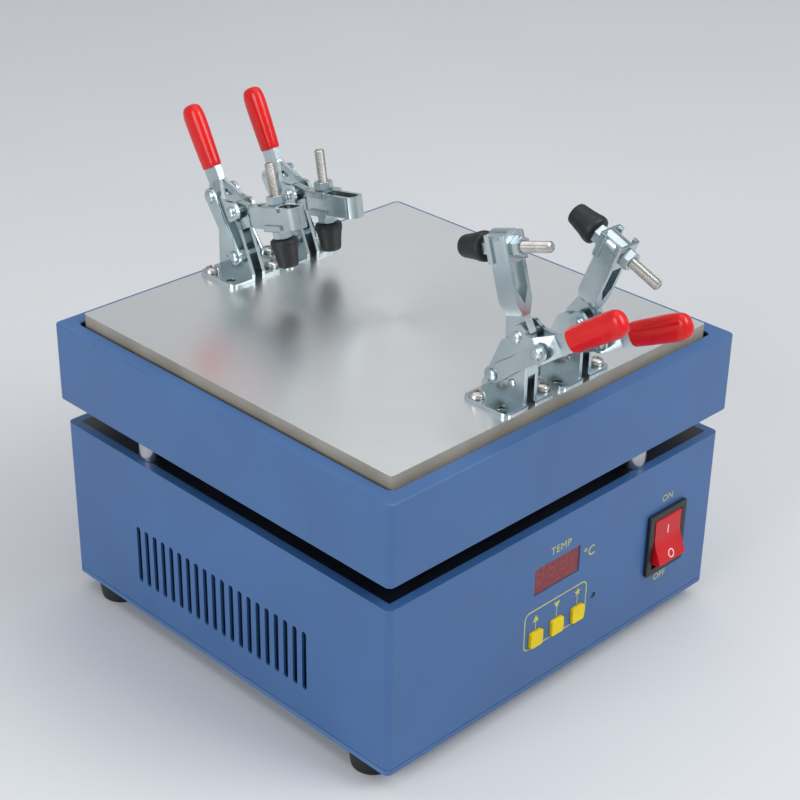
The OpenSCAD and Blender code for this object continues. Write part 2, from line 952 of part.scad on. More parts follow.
module clamp_base() {
  color(zinc) {
    for (side = [0, 1])
      mirror([side, 0, 0]) {
        base_half();
        across(link_pivot, boss_r, cheek_out - fit_gap, link_in - 2 * fit_gap);
        across(link_pivot, rivet_head_r, link_out + fit_gap, link_out + fit_gap + rivet_head_h);
      }
    across(bar_pivot, pin_r, -cheek_out, cheek_out);
    across(spot_rivet, pin_r, -cheek_out - rivet_head_h / 2, cheek_out + rivet_head_h / 2);
    across(link_pivot, pin_r, -link_out - 2 * fit_gap, link_out + 2 * fit_gap);
    sheet_x(-cheek_in - fit_gap, cheek_in + fit_gap)
      stop_outline();
  }
}

// The bar's strip seen from above: a neck of two pressed strips that part into a round-ended slot
module bar_plan() {
  n = neck_half;
  a = arm_out;
  s = slot_w / 2;
  difference() {
    union() {
      polygon([[-n, -eye_r - over], [n, -eye_r - over], [n, neck_length], [a, neck_length + flare_length],
        [a, bar_length - a], [-a, bar_length - a], [-a, neck_length + flare_length], [-n, neck_length]]);
      translate([0, bar_length - a])
        circle(a);
    }
    polygon([[0, slot_start], [s, slot_start + flare_length], [s, bar_length - a],
      [-s, bar_length - a], [-s, slot_start + flare_length]]);
    translate([0, bar_length - a])
      circle(s);
  }
}

module bar_side() {
  top = bar_rise + bar_h / 2;
  low = bar_rise - bar_h / 2;
  polygon(rounded([
    [-eye_r, -eye_r, eye_corner_r], [eye_r, -eye_r, bar_bend_r], [neck_length, low, bar_bend_r],
    [bar_length + over, low, 0], [bar_length + over, top, 0], [neck_length, top, bar_bend_r],
    [handle_pivot.x, handle_pivot.y + eye_r, bar_ear_r],
    [handle_pivot.x - eye_r, handle_pivot.y + eye_r - bar_ear_drop, bar_ear_r], [-eye_r, bar_heel, bar_bend_r]
  ]));
}

module clamp_bar(c) {
  color(zinc)
    at_clamp(c)
      in_bar(c)
        difference() {
          intersection() {
            sheet_x(-arm_out - over, arm_out + over)
              bar_side();
            translate([0, 0, -bar_length / 2])
              linear_extrude(bar_length)
                bar_plan();
          }
          across([0, 0], pin_r + fit_gap, -arm_out, arm_out);
          across(handle_pivot, pin_r + fit_gap, -arm_out, arm_out);
        }
}

// The handle's plate seen along X, and the bent strip that it is pressed from
module handle_side(end) {
  front = shank_x + shank_w / 2;
  back = shank_x - shank_w / 2;
  polygon(rounded([
    [eye_r + ear_lap, -eye_r, boss_r], [eye_r + ear_lap, ear_rise, ear_r], [front + neck_in, neck_h, neck_r],
    [front, shank_start, ear_r], [front, end, 0], [back, end, 0], [back, heel_h, heel_r],
    [-eye_r, -eye_r, boss_r]
  ]));
}

module handle_strip(end) {
  polygon([[fork_in, -eye_r - over], [fork_out, -eye_r - over], [fork_out, fork_h],
    [clamp_sheet, shank_start], [clamp_sheet, end], [0, end], [0, shank_start], [fork_in, fork_h]]);
}

module handle_plates(end) {
  for (side = [0, 1])
    mirror([side, 0, 0])
      intersection() {
        sheet_x(-over, fork_out + over)
          handle_side(end);
        sheet_y(-end, end)
          handle_strip(end);
      }
}

module clamp_handle(c) {
  color(zinc)
    at_clamp(c)
      in_handle(c) {
        difference() {
          handle_plates(shank_end);
          across(link_eye, pin_r + fit_gap, -fork_out - over, fork_out + over);
        }
        across([0, 0], pin_r, -fork_out - rivet_head_h / 2, fork_out + rivet_head_h / 2);
        for (side = [-1, 1])
          across([0, 0], joint_head_r, side > 0 ? fork_out - fit_gap : -fork_out - rivet_head_h,
            side > 0 ? fork_out + rivet_head_h : fit_gap - fork_out);
      }
}

module clamp_grip(c) {
  end = grip_start + grip_length;
  color(red)
    at_clamp(c)
      in_handle(c)
        difference() {
          hull() {
            for (side = [-1, 1])
              translate([0, shank_x + side * (grip_w - grip_t) / 2, 0]) {
                translate([0, 0, grip_start])
                  cylinder(d = grip_t - grip_lip, h = grip_lip, $fn = 24);
                translate([0, 0, grip_start + grip_lip / 2])
                  cylinder(d = grip_t, h = grip_lip, $fn = 24);
                translate([0, 0, end - grip_t / 2])
                  sphere(d = grip_t, $fn = 24);
              }
          }
          handle_plates(shank_end);
        }
}

module link_outline() {
  polygon(rounded([
    [-eye_r, -eye_r, eye_corner_r], [eye_r, -eye_r, eye_corner_r], [eye_r - link_waist, link_length / 2, link_waist_r],
    [eye_r, link_length + eye_r, eye_corner_r], [-eye_r, link_length + eye_r, eye_corner_r],
    [link_waist - eye_r, link_length / 2, link_waist_r]
  ]));
}

module clamp_link(c) {
  angle = link_angle(c) - 90;
  color(zinc)
    at_clamp(c)
      translate([0, link_pivot.x, link_pivot.y])
        rotate([angle, 0, 0])
          for (side = [0, 1])
            mirror([side, 0, 0]) {
              difference() {
                sheet_x(link_in, link_out)
                  link_outline();
                across([0, 0], pin_r + fit_gap, link_in - over, link_out + over);
              }
              across([0, link_length], rivet_head_r, link_out - fit_gap, link_out + rivet_head_h);
            }
}

// Spindle set, along the bar's own height: z = 0 at the bar's middle
module in_spindle(c) {
  at_clamp(c)
    in_bar(c)
      translate([0, c[4], bar_rise])
        children();
}

module clamp_spindle(c) {
  color(steel)
    in_spindle(c)
      pin(spindle_d / 2, tip_top - tip_bore, stack_h + thread_out);
}

module flanged_washer() {
  inside = arm_out + fit_gap;
  difference() {
    union() {
      translate([-inside - flange_t, -flange_side / 2, 0])
        cube([2 * (inside + flange_t), flange_side, flange_t]);
      for (side = [-1, 1])
        translate([side * (inside + flange_t / 2), 0, -flange_lip / 2 + flange_t / 2])
          cube([flange_t, flange_side, flange_lip + flange_t], center = true);
    }
    pin(spindle_d / 2 + fit_gap, -over, flange_t + over);
  }
}

module clamp_nuts(c) {
  color(zinc)
    in_spindle(c)
      for (side = [0, 1])
        mirror([0, 0, side])
          translate([0, 0, bar_h / 2]) {
            flanged_washer();
            translate([0, 0, flange_t])
              hex_nut(spindle_nut_r, spindle_nut_h, spindle_d / 2 + fit_gap);
          }
}

module clamp_tip(c) {
  color(rubber)
    in_spindle(c)
      translate([0, 0, tip_top])
        mirror([0, 0, 1])
          difference() {
            rotate_extrude()
              polygon(rounded([[0, 0, 0], [tip_d / 2 - tip_round, 0, tip_top_r], [tip_d / 2, tip_round, tip_side_r],
                [tip_d / 2 - tip_taper, tip_h, tip_end_r], [0, tip_h, 0]]));
            pin(spindle_d / 2, -over, tip_bore);
          }
}

module clamp_screws() {
  color(steel)
    at_clamps(clamps)
      for (p = screw_places)
        translate([p.x * base_hole_x, p.y * base_hole_y, clamp_sheet])
          mirror([0, 0, 1])
            pan_screw(screw_r, clamp_screw_l + clamp_sheet, clamp_head_r, clamp_head_h);
}

module rear_left_base() { at_clamp(rear_left) clamp_base(); }
module rear_right_base() { at_clamp(rear_right) clamp_base(); }
module front_left_base() { at_clamp(front_left) clamp_base(); }
module front_right_base() { at_clamp(front_right) clamp_base(); }

base_pan();
case_cover();
feet();
case_screws();
standoffs();
standoff_bolts();
tray_floor();
tray();
plate_posts();
insulation();
hot_plate();
heating_rods();
thermocouple();
display_window();
display_module();
control_board();
tact_switches();
up_button();
down_button();
set_button();
status_led();
switch_housing();
rocker();
power_inlet();
fuse_drawer();
transformer();
clamp_screws();
rear_left_base();
clamp_bar(rear_left);  // rear_left_bar
clamp_handle(rear_left);  // rear_left_handle
clamp_grip(rear_left);  // rear_left_grip
clamp_link(rear_left);  // rear_left_link
clamp_spindle(rear_left);  // rear_left_spindle
clamp_nuts(rear_left);  // rear_left_nuts
clamp_tip(rear_left);  // rear_left_tip
rear_right_base();
clamp_bar(rear_right);  // rear_right_bar
clamp_handle(rear_right);  // rear_right_handle
clamp_grip(rear_right);  // rear_right_grip
clamp_link(rear_right);  // rear_right_link
clamp_spindle(rear_right);  // rear_right_spindle
clamp_nuts(rear_right);  // rear_right_nuts
clamp_tip(rear_right);  // rear_right_tip
front_left_base();
clamp_bar(front_left);  // front_left_bar
clamp_handle(front_left);  // front_left_handle
clamp_grip(front_left);  // front_left_grip
clamp_link(front_left);  // front_left_link
clamp_spindle(front_left);  // front_left_spindle
clamp_nuts(front_left);  // front_left_nuts
clamp_tip(front_left);  // front_left_tip
front_right_base();
clamp_bar(front_right);  // front_right_bar
clamp_handle(front_right);  // front_right_handle
clamp_grip(front_right);  // front_right_grip
clamp_link(front_right);  // front_right_link
clamp_spindle(front_right);  // front_right_spindle
clamp_nuts(front_right);  // front_right_nuts
clamp_tip(front_right);  // front_right_tip
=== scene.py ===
import json
import math
import bpy
import bmesh
from mathutils import Matrix, Vector
from mathutils.bvhtree import BVHTree

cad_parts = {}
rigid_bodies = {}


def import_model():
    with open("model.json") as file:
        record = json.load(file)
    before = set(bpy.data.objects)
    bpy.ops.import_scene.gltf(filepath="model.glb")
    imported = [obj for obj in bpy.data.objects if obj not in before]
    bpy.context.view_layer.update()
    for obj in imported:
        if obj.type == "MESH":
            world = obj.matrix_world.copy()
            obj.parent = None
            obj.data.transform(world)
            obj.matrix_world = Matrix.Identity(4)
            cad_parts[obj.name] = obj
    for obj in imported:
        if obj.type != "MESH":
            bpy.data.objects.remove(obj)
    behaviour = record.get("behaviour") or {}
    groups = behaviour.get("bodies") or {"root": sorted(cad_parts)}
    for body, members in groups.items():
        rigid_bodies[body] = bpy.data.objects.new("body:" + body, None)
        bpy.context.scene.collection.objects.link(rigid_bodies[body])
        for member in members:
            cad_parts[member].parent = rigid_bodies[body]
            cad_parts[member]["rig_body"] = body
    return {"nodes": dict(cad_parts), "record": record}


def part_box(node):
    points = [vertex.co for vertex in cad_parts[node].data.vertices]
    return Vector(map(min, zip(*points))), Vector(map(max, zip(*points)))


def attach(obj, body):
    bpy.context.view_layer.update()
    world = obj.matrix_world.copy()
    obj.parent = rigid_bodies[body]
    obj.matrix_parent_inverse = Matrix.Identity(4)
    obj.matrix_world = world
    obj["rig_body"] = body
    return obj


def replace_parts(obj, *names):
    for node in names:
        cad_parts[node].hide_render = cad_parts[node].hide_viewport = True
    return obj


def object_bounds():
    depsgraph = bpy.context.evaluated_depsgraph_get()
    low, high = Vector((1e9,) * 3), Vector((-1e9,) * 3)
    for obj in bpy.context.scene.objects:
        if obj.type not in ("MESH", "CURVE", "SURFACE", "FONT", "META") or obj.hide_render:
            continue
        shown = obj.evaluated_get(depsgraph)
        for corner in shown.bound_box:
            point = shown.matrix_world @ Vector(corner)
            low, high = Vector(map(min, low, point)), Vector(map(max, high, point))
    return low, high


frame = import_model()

cadBounds = [list(corner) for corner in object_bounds()]
nodes = frame["nodes"]
slotOf = {part["node"]: part["material_slot"] for part in frame["record"]["subparts"]}
mm = 0.001
weld = 0.002 * mm
print("frame loaded:", len(nodes), "nodes")


# shading helpers

def tone(red, green, blue):
    # a colour as it looks on screen, 0 to 255, turned linear
    parts = [c / 255 for c in (red, green, blue)]
    return tuple(c / 12.92 if c < 0.04045 else ((c + 0.055) / 1.055) ** 2.4 for c in parts) + (1.0,)


def addNode(tree, kind, values=None, **settings):
    node = tree.nodes.new(kind)
    for key, value in settings.items():
        setattr(node, key, value)
    for key, value in (values or {}).items():
        socket = node.inputs[key]
        if isinstance(value, bpy.types.NodeSocket):
            tree.links.new(value, socket)
        else:
            socket.default_value = value
    return node


def startMaterial(name, **surface):
    material = bpy.data.materials.new(name)
    material.use_nodes = True
    tree = material.node_tree
    tree.nodes.clear()
    values = {key.replace("_", " "): value for key, value in surface.items()}
    shader = addNode(tree, "ShaderNodeBsdfPrincipled", values)
    addNode(tree, "ShaderNodeOutputMaterial", {"Surface": shader.outputs["BSDF"]})
    coords = addNode(tree, "ShaderNodeTexCoord").outputs["Object"]
    return material, tree, shader, coords


def mathNode(tree, operation, *values):
    return addNode(tree, "ShaderNodeMath", dict(enumerate(values)), operation=operation).outputs[0]


def noiseAt(tree, coords, scale, detail=3.0, rough=0.5, stretch=None):
    if stretch:
        coords = addNode(tree, "ShaderNodeMapping", {"Vector": coords, "Scale": stretch}).outputs["Vector"]
    return addNode(tree, "ShaderNodeTexNoise", {
        "Vector": coords, "Scale": scale, "Detail": detail, "Roughness": rough}).outputs["Fac"]


def spread(tree, value, low, high, fromLow=0.3, fromHigh=0.7):
    return addNode(tree, "ShaderNodeMapRange", {
        "Value": value, "From Min": fromLow, "From Max": fromHigh,
        "To Min": low, "To Max": high}).outputs["Result"]


def blendColour(tree, factor, first, second):
    mix = addNode(tree, "ShaderNodeMix", data_type="RGBA")
    for index, value in ((0, factor), (6, first), (7, second)):
        if isinstance(value, bpy.types.NodeSocket):
            tree.links.new(value, mix.inputs[index])
        else:
            mix.inputs[index].default_value = value
    return mix.outputs[2]


# how deep each kind of grain reads
grainDepth = {"paint": 0.12 * mm, "metal": 0.03 * mm, "plastic": 0.05 * mm}


def addBump(tree, shader, height, strength, kind):
    values = {"Height": height, "Strength": strength, "Distance": grainDepth[kind]}
    bump = addNode(tree, "ShaderNodeBump", values)
    tree.links.new(bump.outputs["Normal"], shader.inputs["Normal"])


# materials

paintLook = {
    "colour": tone(62, 104, 158), "deep": tone(55, 96, 148), "thin": tone(84, 126, 178),
    "grainScale": 1400.0, "grainBump": 0.12, "cloudScale": 18.0,
    "coat": 0.12, "coatRoughness": 0.25, "rough": (0.36, 0.46),
    # edges sharper than the first of these turn paler, fully so at the second
    "wearFrom": 0.53, "wearTo": 0.64, "wear": 0.5,
    # painted shade: the case's top under the tray is painted near black for the tray's shadow, this far
    # from the middle and above this level
    "paintedTrayShadeReach": 103.5 * mm, "paintedTrayShadeLevel": -56.3 * mm, "mat": tone(12, 13, 16),
}


def makeBluePaint(name, mat=False):
    # satin powder coat: fine orange peel, slow cloudiness, paler on its edges unless it carries the painted
    # shade under the tray
    look = paintLook
    material, tree, shader, coords = startMaterial(
        name, Coat_Weight=look["coat"], Coat_Roughness=look["coatRoughness"])
    cloud = noiseAt(tree, coords, look["cloudScale"], 2.0)
    grain = noiseAt(tree, coords, look["grainScale"], 2.0)
    body = blendColour(tree, spread(tree, cloud, 0.0, 1.0), look["deep"], look["colour"])
    # painted shade: the case's top under the tray turns near black, where the tray's shadow falls
    if mat:
        parts = addNode(tree, "ShaderNodeSeparateXYZ", {"Vector": coords}).outputs
        aside = [mathNode(tree, "ABSOLUTE", parts[axis]) for axis in "XY"]
        inner = mathNode(tree, "LESS_THAN", mathNode(tree, "MAXIMUM", *aside), look["paintedTrayShadeReach"])
        high = mathNode(tree, "GREATER_THAN", parts["Z"], look["paintedTrayShadeLevel"])
        paint = blendColour(tree, mathNode(tree, "MULTIPLY", inner, high), body, look["mat"])
    else:
        worn = addNode(tree, "ShaderNodeNewGeometry").outputs["Pointiness"]
        edges = spread(tree, worn, 0.0, look["wear"], look["wearFrom"], look["wearTo"])
        paint = blendColour(tree, edges, body, look["thin"])
    tree.links.new(paint, shader.inputs["Base Color"])
    tree.links.new(spread(tree, cloud, *look["rough"]), shader.inputs["Roughness"])
    addBump(tree, shader, grain, look["grainBump"], "paint")
    return material


plateLook = {
    "pale": tone(252, 252, 250), "dark": tone(242, 242, 240), "ringScale": 900.0, "ringBump": 0.2,
    "broadScale": 70.0, "smearScale": 14.0, "smear": 0.4, "anisotropy": 0.5, "rough": (0.29, 0.32),
}


def makeTurnedPlate():
    # face-turned aluminium: tool marks run round the plate's middle, and light spreads across them
    look = plateLook
    material, tree, shader, coords = startMaterial(
        "turnedPlateTop", Metallic=1.0, Anisotropic=look["anisotropy"])
    parts = addNode(tree, "ShaderNodeSeparateXYZ", {"Vector": coords}).outputs
    flat = addNode(tree, "ShaderNodeCombineXYZ", {"X": parts["X"], "Y": parts["Y"]}).outputs["Vector"]
    radius = addNode(tree, "ShaderNodeVectorMath", {0: flat}, operation="LENGTH").outputs["Value"]
    outward = addNode(tree, "ShaderNodeVectorMath", {0: flat}, operation="NORMALIZE").outputs["Vector"]
    tree.links.new(outward, shader.inputs["Tangent"])
    ring = addNode(tree, "ShaderNodeCombineXYZ", {"X": radius}).outputs["Vector"]
    fine = noiseAt(tree, ring, look["ringScale"], 4.0, 0.7)
    broad = noiseAt(tree, ring, look["broadScale"], 2.0)
    smear = noiseAt(tree, coords, look["smearScale"], 3.0)
    tint = blendColour(tree, spread(tree, fine, 0.0, 1.0, 0.25, 0.75), look["dark"], look["pale"])
    handled = blendColour(tree, spread(tree, smear, 0.0, look["smear"]), tint, look["pale"])
    tree.links.new(handled, shader.inputs["Base Color"])
    tree.links.new(spread(tree, broad, *look["rough"]), shader.inputs["Roughness"])
    addBump(tree, shader, fine, look["ringBump"], "metal")
    return material


def makeMetal(name, pale, dark, rough, grain, stretch=None, bump=0.1, scale=160.0, bare=1.0):
    # bare or plated metal: tone and gloss drift slowly, with a fine drawn or plated grain
    material, tree, shader, coords = startMaterial(name, Metallic=bare)
    cloud = noiseAt(tree, coords, scale, 3.0)
    fine = noiseAt(tree, coords, grain, 3.0, 0.6, stretch)
    body = blendColour(tree, spread(tree, cloud, 0.0, 1.0), dark, pale)
    tree.links.new(body, shader.inputs["Base Color"])
    tree.links.new(spread(tree, fine, *rough), shader.inputs["Roughness"])
    addBump(tree, shader, fine, bump, "metal")
    return material


def makePlastic(name, colour, deep, rough, grain, bump, coat=0.0, scale=60.0, shine=0.5):
    # moulded or dipped plastic and rubber: slight tone drift and a moulded grain
    material, tree, shader, coords = startMaterial(
        name, Coat_Weight=coat, Coat_Roughness=0.1, Specular_IOR_Level=shine)
    cloud = noiseAt(tree, coords, scale, 2.0)
    fine = noiseAt(tree, coords, grain, 2.0)
    body = blendColour(tree, spread(tree, cloud, 0.0, 1.0), deep, colour)
    tree.links.new(body, shader.inputs["Base Color"])
    tree.links.new(spread(tree, cloud, *rough), shader.inputs["Roughness"])
    addBump(tree, shader, fine, bump, "plastic")
    return material


lensLook = {
    "coat": 0.3, "coatRoughness": 0.05, "dustScale": 300.0, "dusty": 0.12, "dust": tone(150, 120, 120),
    "rough": (0.12, 0.25),
}


def makeLens(name, colour, clear):
    # tinted filter sheet: part of the light goes through to the digits behind it
    look = lensLook
    material, tree, shader, coords = startMaterial(
        name, Coat_Weight=look["coat"], Coat_Roughness=look["coatRoughness"])
    dust = noiseAt(tree, coords, look["dustScale"], 3.0)
    body = blendColour(tree, spread(tree, dust, 0.0, look["dusty"]), colour, look["dust"])
    tree.links.new(body, shader.inputs["Base Color"])
    tree.links.new(spread(tree, dust, *look["rough"]), shader.inputs["Roughness"])
    shader.inputs["Alpha"].default_value = clear
    return material


finish = {
    "paint": makeBluePaint("bluePowderCoat"),
    # the case's coat, with painted shade under the tray
    "casePaintedShade": makeBluePaint("blueCaseCoatPaintedShade", mat=True),
    "plateTop": makeTurnedPlate(),
    # the plate's sides: partly a real rougher milled grain, partly painted light, a pale tan mostly
    # non-metal tone standing in for the light the bare sides reflect
    "plateSide": makeMetal("milledSidePaintedReflection", tone(188, 181, 166), tone(164, 157, 142), (0.4, 0.55), 700.0,
                           stretch=(0.06, 0.06, 1.0), bump=0.25, scale=40.0, bare=0.25),
    "zinc": makeMetal("brightZincPlate", tone(206, 217, 219), tone(180, 194, 198), (0.16, 0.27), 900.0,
                      bump=0.05, scale=45.0),
    "steel": makeMetal("screwSteel", tone(208, 206, 201), tone(184, 181, 175), (0.2, 0.32), 1200.0),
    "standoff": makeMetal("turnedStandoff", tone(188, 190, 192), tone(164, 166, 168), (0.14, 0.24), 900.0,
                          stretch=(0.05, 0.05, 1.0)),
    "brass": makeMetal("brassPins", tone(214, 184, 116), tone(190, 156, 86), (0.2, 0.32), 900.0),
    "core": makeMetal("varnishedCore", tone(126, 124, 120), tone(92, 90, 88), (0.4, 0.6), 900.0),
    "rubber": makePlastic("blackRubber", tone(21, 22, 24), tone(15, 16, 18), (0.45, 0.6), 1500.0, 0.3),
    "black": makePlastic("blackPlastic", tone(30, 31, 33), tone(22, 23, 25), (0.34, 0.46), 1800.0, 0.25),
    "grip": makePlastic("dippedRedVinyl", tone(228, 18, 18), tone(210, 12, 14), (0.2, 0.3), 500.0, 0.1,
                        coat=0.25, shine=0.3),
    "rocker": makePlastic("redRocker", tone(214, 16, 26), tone(196, 10, 20), (0.2, 0.3), 900.0, 0.08,
                          coat=0.15, shine=0.3),
    "yellow": makePlastic("yellowButtons", tone(244, 214, 8), tone(234, 200, 4), (0.3, 0.42), 1500.0, 0.12,
                          shine=0.25),
    "ink": makePlastic("paleYellowInk", tone(206, 210, 96), tone(186, 190, 80), (0.45, 0.6), 2500.0, 0.2),
    "whiteInk": makePlastic("whiteInk", tone(236, 232, 228), tone(220, 214, 210), (0.4, 0.5), 2500.0, 0.2),
    "lens": makeLens("redFilter", tone(150, 34, 46), clear=0.72),
    "led": makeLens("statusLens", tone(16, 12, 20), clear=1.0),
    "digit": makePlastic("unlitDigits", tone(196, 150, 146), tone(180, 130, 128), (0.4, 0.5), 2000.0, 0.1),
    "board": makePlastic("greenBoard", tone(34, 104, 62), tone(26, 84, 48), (0.3, 0.45), 1200.0, 0.2),
    "ceramic": makePlastic("ceramicPosts", tone(216, 208, 190), tone(196, 188, 170), (0.5, 0.7),
                           1200.0, 0.3),
    "wool": makePlastic("mineralWool", tone(222, 214, 196), tone(190, 180, 160), (0.85, 0.95),
                        700.0, 0.9),
}
print("materials made:", len(finish))


# mesh helpers; angles in degrees

cleanUp = {"flatWithin": 0.6, "smoothUpTo": 38}


def linkPiece(name, mesh):
    piece = bpy.data.objects.new(name, mesh)
    bpy.context.scene.collection.objects.link(piece)
    return piece


def meshFrom(shape, name, material=None):
    mesh = bpy.data.meshes.new(name)
    shape.to_mesh(mesh)
    shape.free()
    if material:
        mesh.materials.append(finish[material])
    return mesh


def shadeByAngle(mesh, angle):
    mesh.shade_smooth()
    mesh.set_sharp_from_angle(angle=math.radians(angle))


def camel(node):
    words = node.split("_")
    return words[0] + "".join(word.capitalize() for word in words[1:])


def cleanCopy(node, name):
    # the node's loose triangles, welded and flattened into whole faces
    mesh = nodes[node].data.copy()
    mesh.name = name
    mesh.materials.clear()
    for layer in ("custom_normal", "sharp_face", "sharp_edge"):
        if layer in mesh.attributes:
            mesh.attributes.remove(mesh.attributes[layer])
    shape = bmesh.new()
    shape.from_mesh(mesh)
    bmesh.ops.remove_doubles(shape, verts=shape.verts, dist=weld)
    bmesh.ops.dissolve_limit(
        shape, angle_limit=math.radians(cleanUp["flatWithin"]), verts=shape.verts, edges=shape.edges)
    shape.to_mesh(mesh)
    shape.free()
    return linkPiece(name, mesh)


def settle(piece):
    # live modifiers become plain mesh
    ready = piece.evaluated_get(bpy.context.evaluated_depsgraph_get())
    mesh = bpy.data.meshes.new_from_object(ready)
    piece.modifiers.clear()
    piece.data = mesh
    return piece


def roundEdges(piece, width, segments, angle=32):
    bevel = piece.modifiers.new("softEdges", "BEVEL")
    bevel.width = width * mm
    bevel.segments = segments
    bevel.limit_method = "ANGLE"
    bevel.angle_limit = math.radians(angle)
    bevel.use_clamp_overlap = True
    settle(piece)
    shadeByAngle(piece.data, cleanUp["smoothUpTo"])
    flat = piece.modifiers.new("flatFaces", "WEIGHTED_NORMAL")
    flat.keep_sharp = True
    flat.weight = 100
    return settle(piece)


def mount(piece, body, slot, *replaced):
    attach(piece, body)
    if replaced:
        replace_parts(piece, *replaced)
    return piece


def dressNode(node, material, width, segments=2, angle=32):
    piece = cleanCopy(node, camel(node))
    roundEdges(piece, width, segments, angle)
    piece.data.materials.clear()
    piece.data.materials.append(finish[material])
    return mount(piece, nodes[node]["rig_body"], slotOf[node], node)


def prism(name, outline, low, high, material):
    # a closed solid from depth low to high along Y; the outline is in mm across X and up Z
    shape = bmesh.new()
    near, far = ([shape.verts.new((x * mm, y * mm, z * mm)) for x, z in outline] for y in (low, high))
    shape.faces.new(near)
    shape.faces.new(list(reversed(far)))
    for i in range(len(outline)):
        j = (i + 1) % len(outline)
        shape.faces.new((near[j], near[i], far[i], far[j]))
    bmesh.ops.recalc_face_normals(shape, faces=shape.faces)
    return linkPiece(name, meshFrom(shape, name, material))


def skinRings(name, rings, material, loop=False, matrix=None, angle=40):
    # rings of points joined into a closed skin; loop joins the last ring to the first
    shape = bmesh.new()
    rows = [[shape.verts.new(point) for point in ring] for ring in rings]
    count = len(rings[0])
    pairs = list(zip(rows, rows[1:])) + ([(rows[-1], rows[0])] if loop else [])
    for low, high in pairs:
        for i in range(count):
            j = (i + 1) % count
            shape.faces.new((low[i], low[j], high[j], high[i]))
    if not loop:
        shape.faces.new(list(reversed(rows[0])))
        shape.faces.new(rows[-1])
    bmesh.ops.recalc_face_normals(shape, faces=shape.faces)
    mesh = meshFrom(shape, name, material)
    if matrix:
        mesh.transform(matrix)
    shadeByAngle(mesh, angle)
    return linkPiece(name, mesh)


def joinPieces(name, pieces):
    # several plain meshes become one, keeping their materials
    shape = bmesh.new()
    mesh = bpy.data.meshes.new(name)
    for piece in pieces:
        before = len(shape.faces)
        shape.from_mesh(piece.data)
        shape.faces.ensure_lookup_table()
        for material in piece.data.materials:
            if material.name not in mesh.materials:
                mesh.materials.append(material)
        index = {i: mesh.materials.find(m.name) for i, m in enumerate(piece.data.materials)}
        for face in shape.faces[before:]:
            face.material_index = index.get(face.material_index, 0)
    shape.to_mesh(mesh)
    shape.free()
    for piece in pieces:
        bpy.data.objects.remove(piece)
    return linkPiece(name, mesh)


# geometry node trees

def startTree(name, sockets):
    tree = bpy.data.node_groups.new(name, "GeometryNodeTree")
    tree.is_modifier = True
    tree.interface.new_socket(name="Geometry", in_out="INPUT", socket_type="NodeSocketGeometry")
    keys = {}
    for label, kind in sockets:
        keys[label] = tree.interface.new_socket(name=label, in_out="INPUT", socket_type=kind).identifier
    tree.interface.new_socket(name="Geometry", in_out="OUTPUT", socket_type="NodeSocketGeometry")
    entry = tree.nodes.new("NodeGroupInput").outputs
    return tree, keys, entry


def endTree(tree, entry, geometry):
    real = addNode(tree, "GeometryNodeRealizeInstances", {"Geometry": geometry}).outputs["Geometry"]
    painted = addNode(tree, "GeometryNodeSetMaterial", {"Geometry": real, "Material": entry["Finish"]})
    addNode(tree, "NodeGroupOutput", {"Geometry": painted.outputs["Geometry"]})


def makePlaceTree():
    # one shape at every point, turned by the point's own angles
    tree, keys, entry = startTree("placeAtPoints", [
        ("Shape", "NodeSocketObject"), ("Size", "NodeSocketFloat"), ("Finish", "NodeSocketMaterial")])
    shape = addNode(tree, "GeometryNodeObjectInfo", {"Object": entry["Shape"]}).outputs["Geometry"]
    turn = addNode(tree, "GeometryNodeInputNamedAttribute", {"Name": "turn"}, data_type="FLOAT_VECTOR")
    copies = addNode(tree, "GeometryNodeInstanceOnPoints", {
        "Points": entry["Geometry"], "Instance": shape,
        "Rotation": turn.outputs["Attribute"], "Scale": entry["Size"]})
    endTree(tree, entry, copies.outputs["Instances"])
    return tree, keys


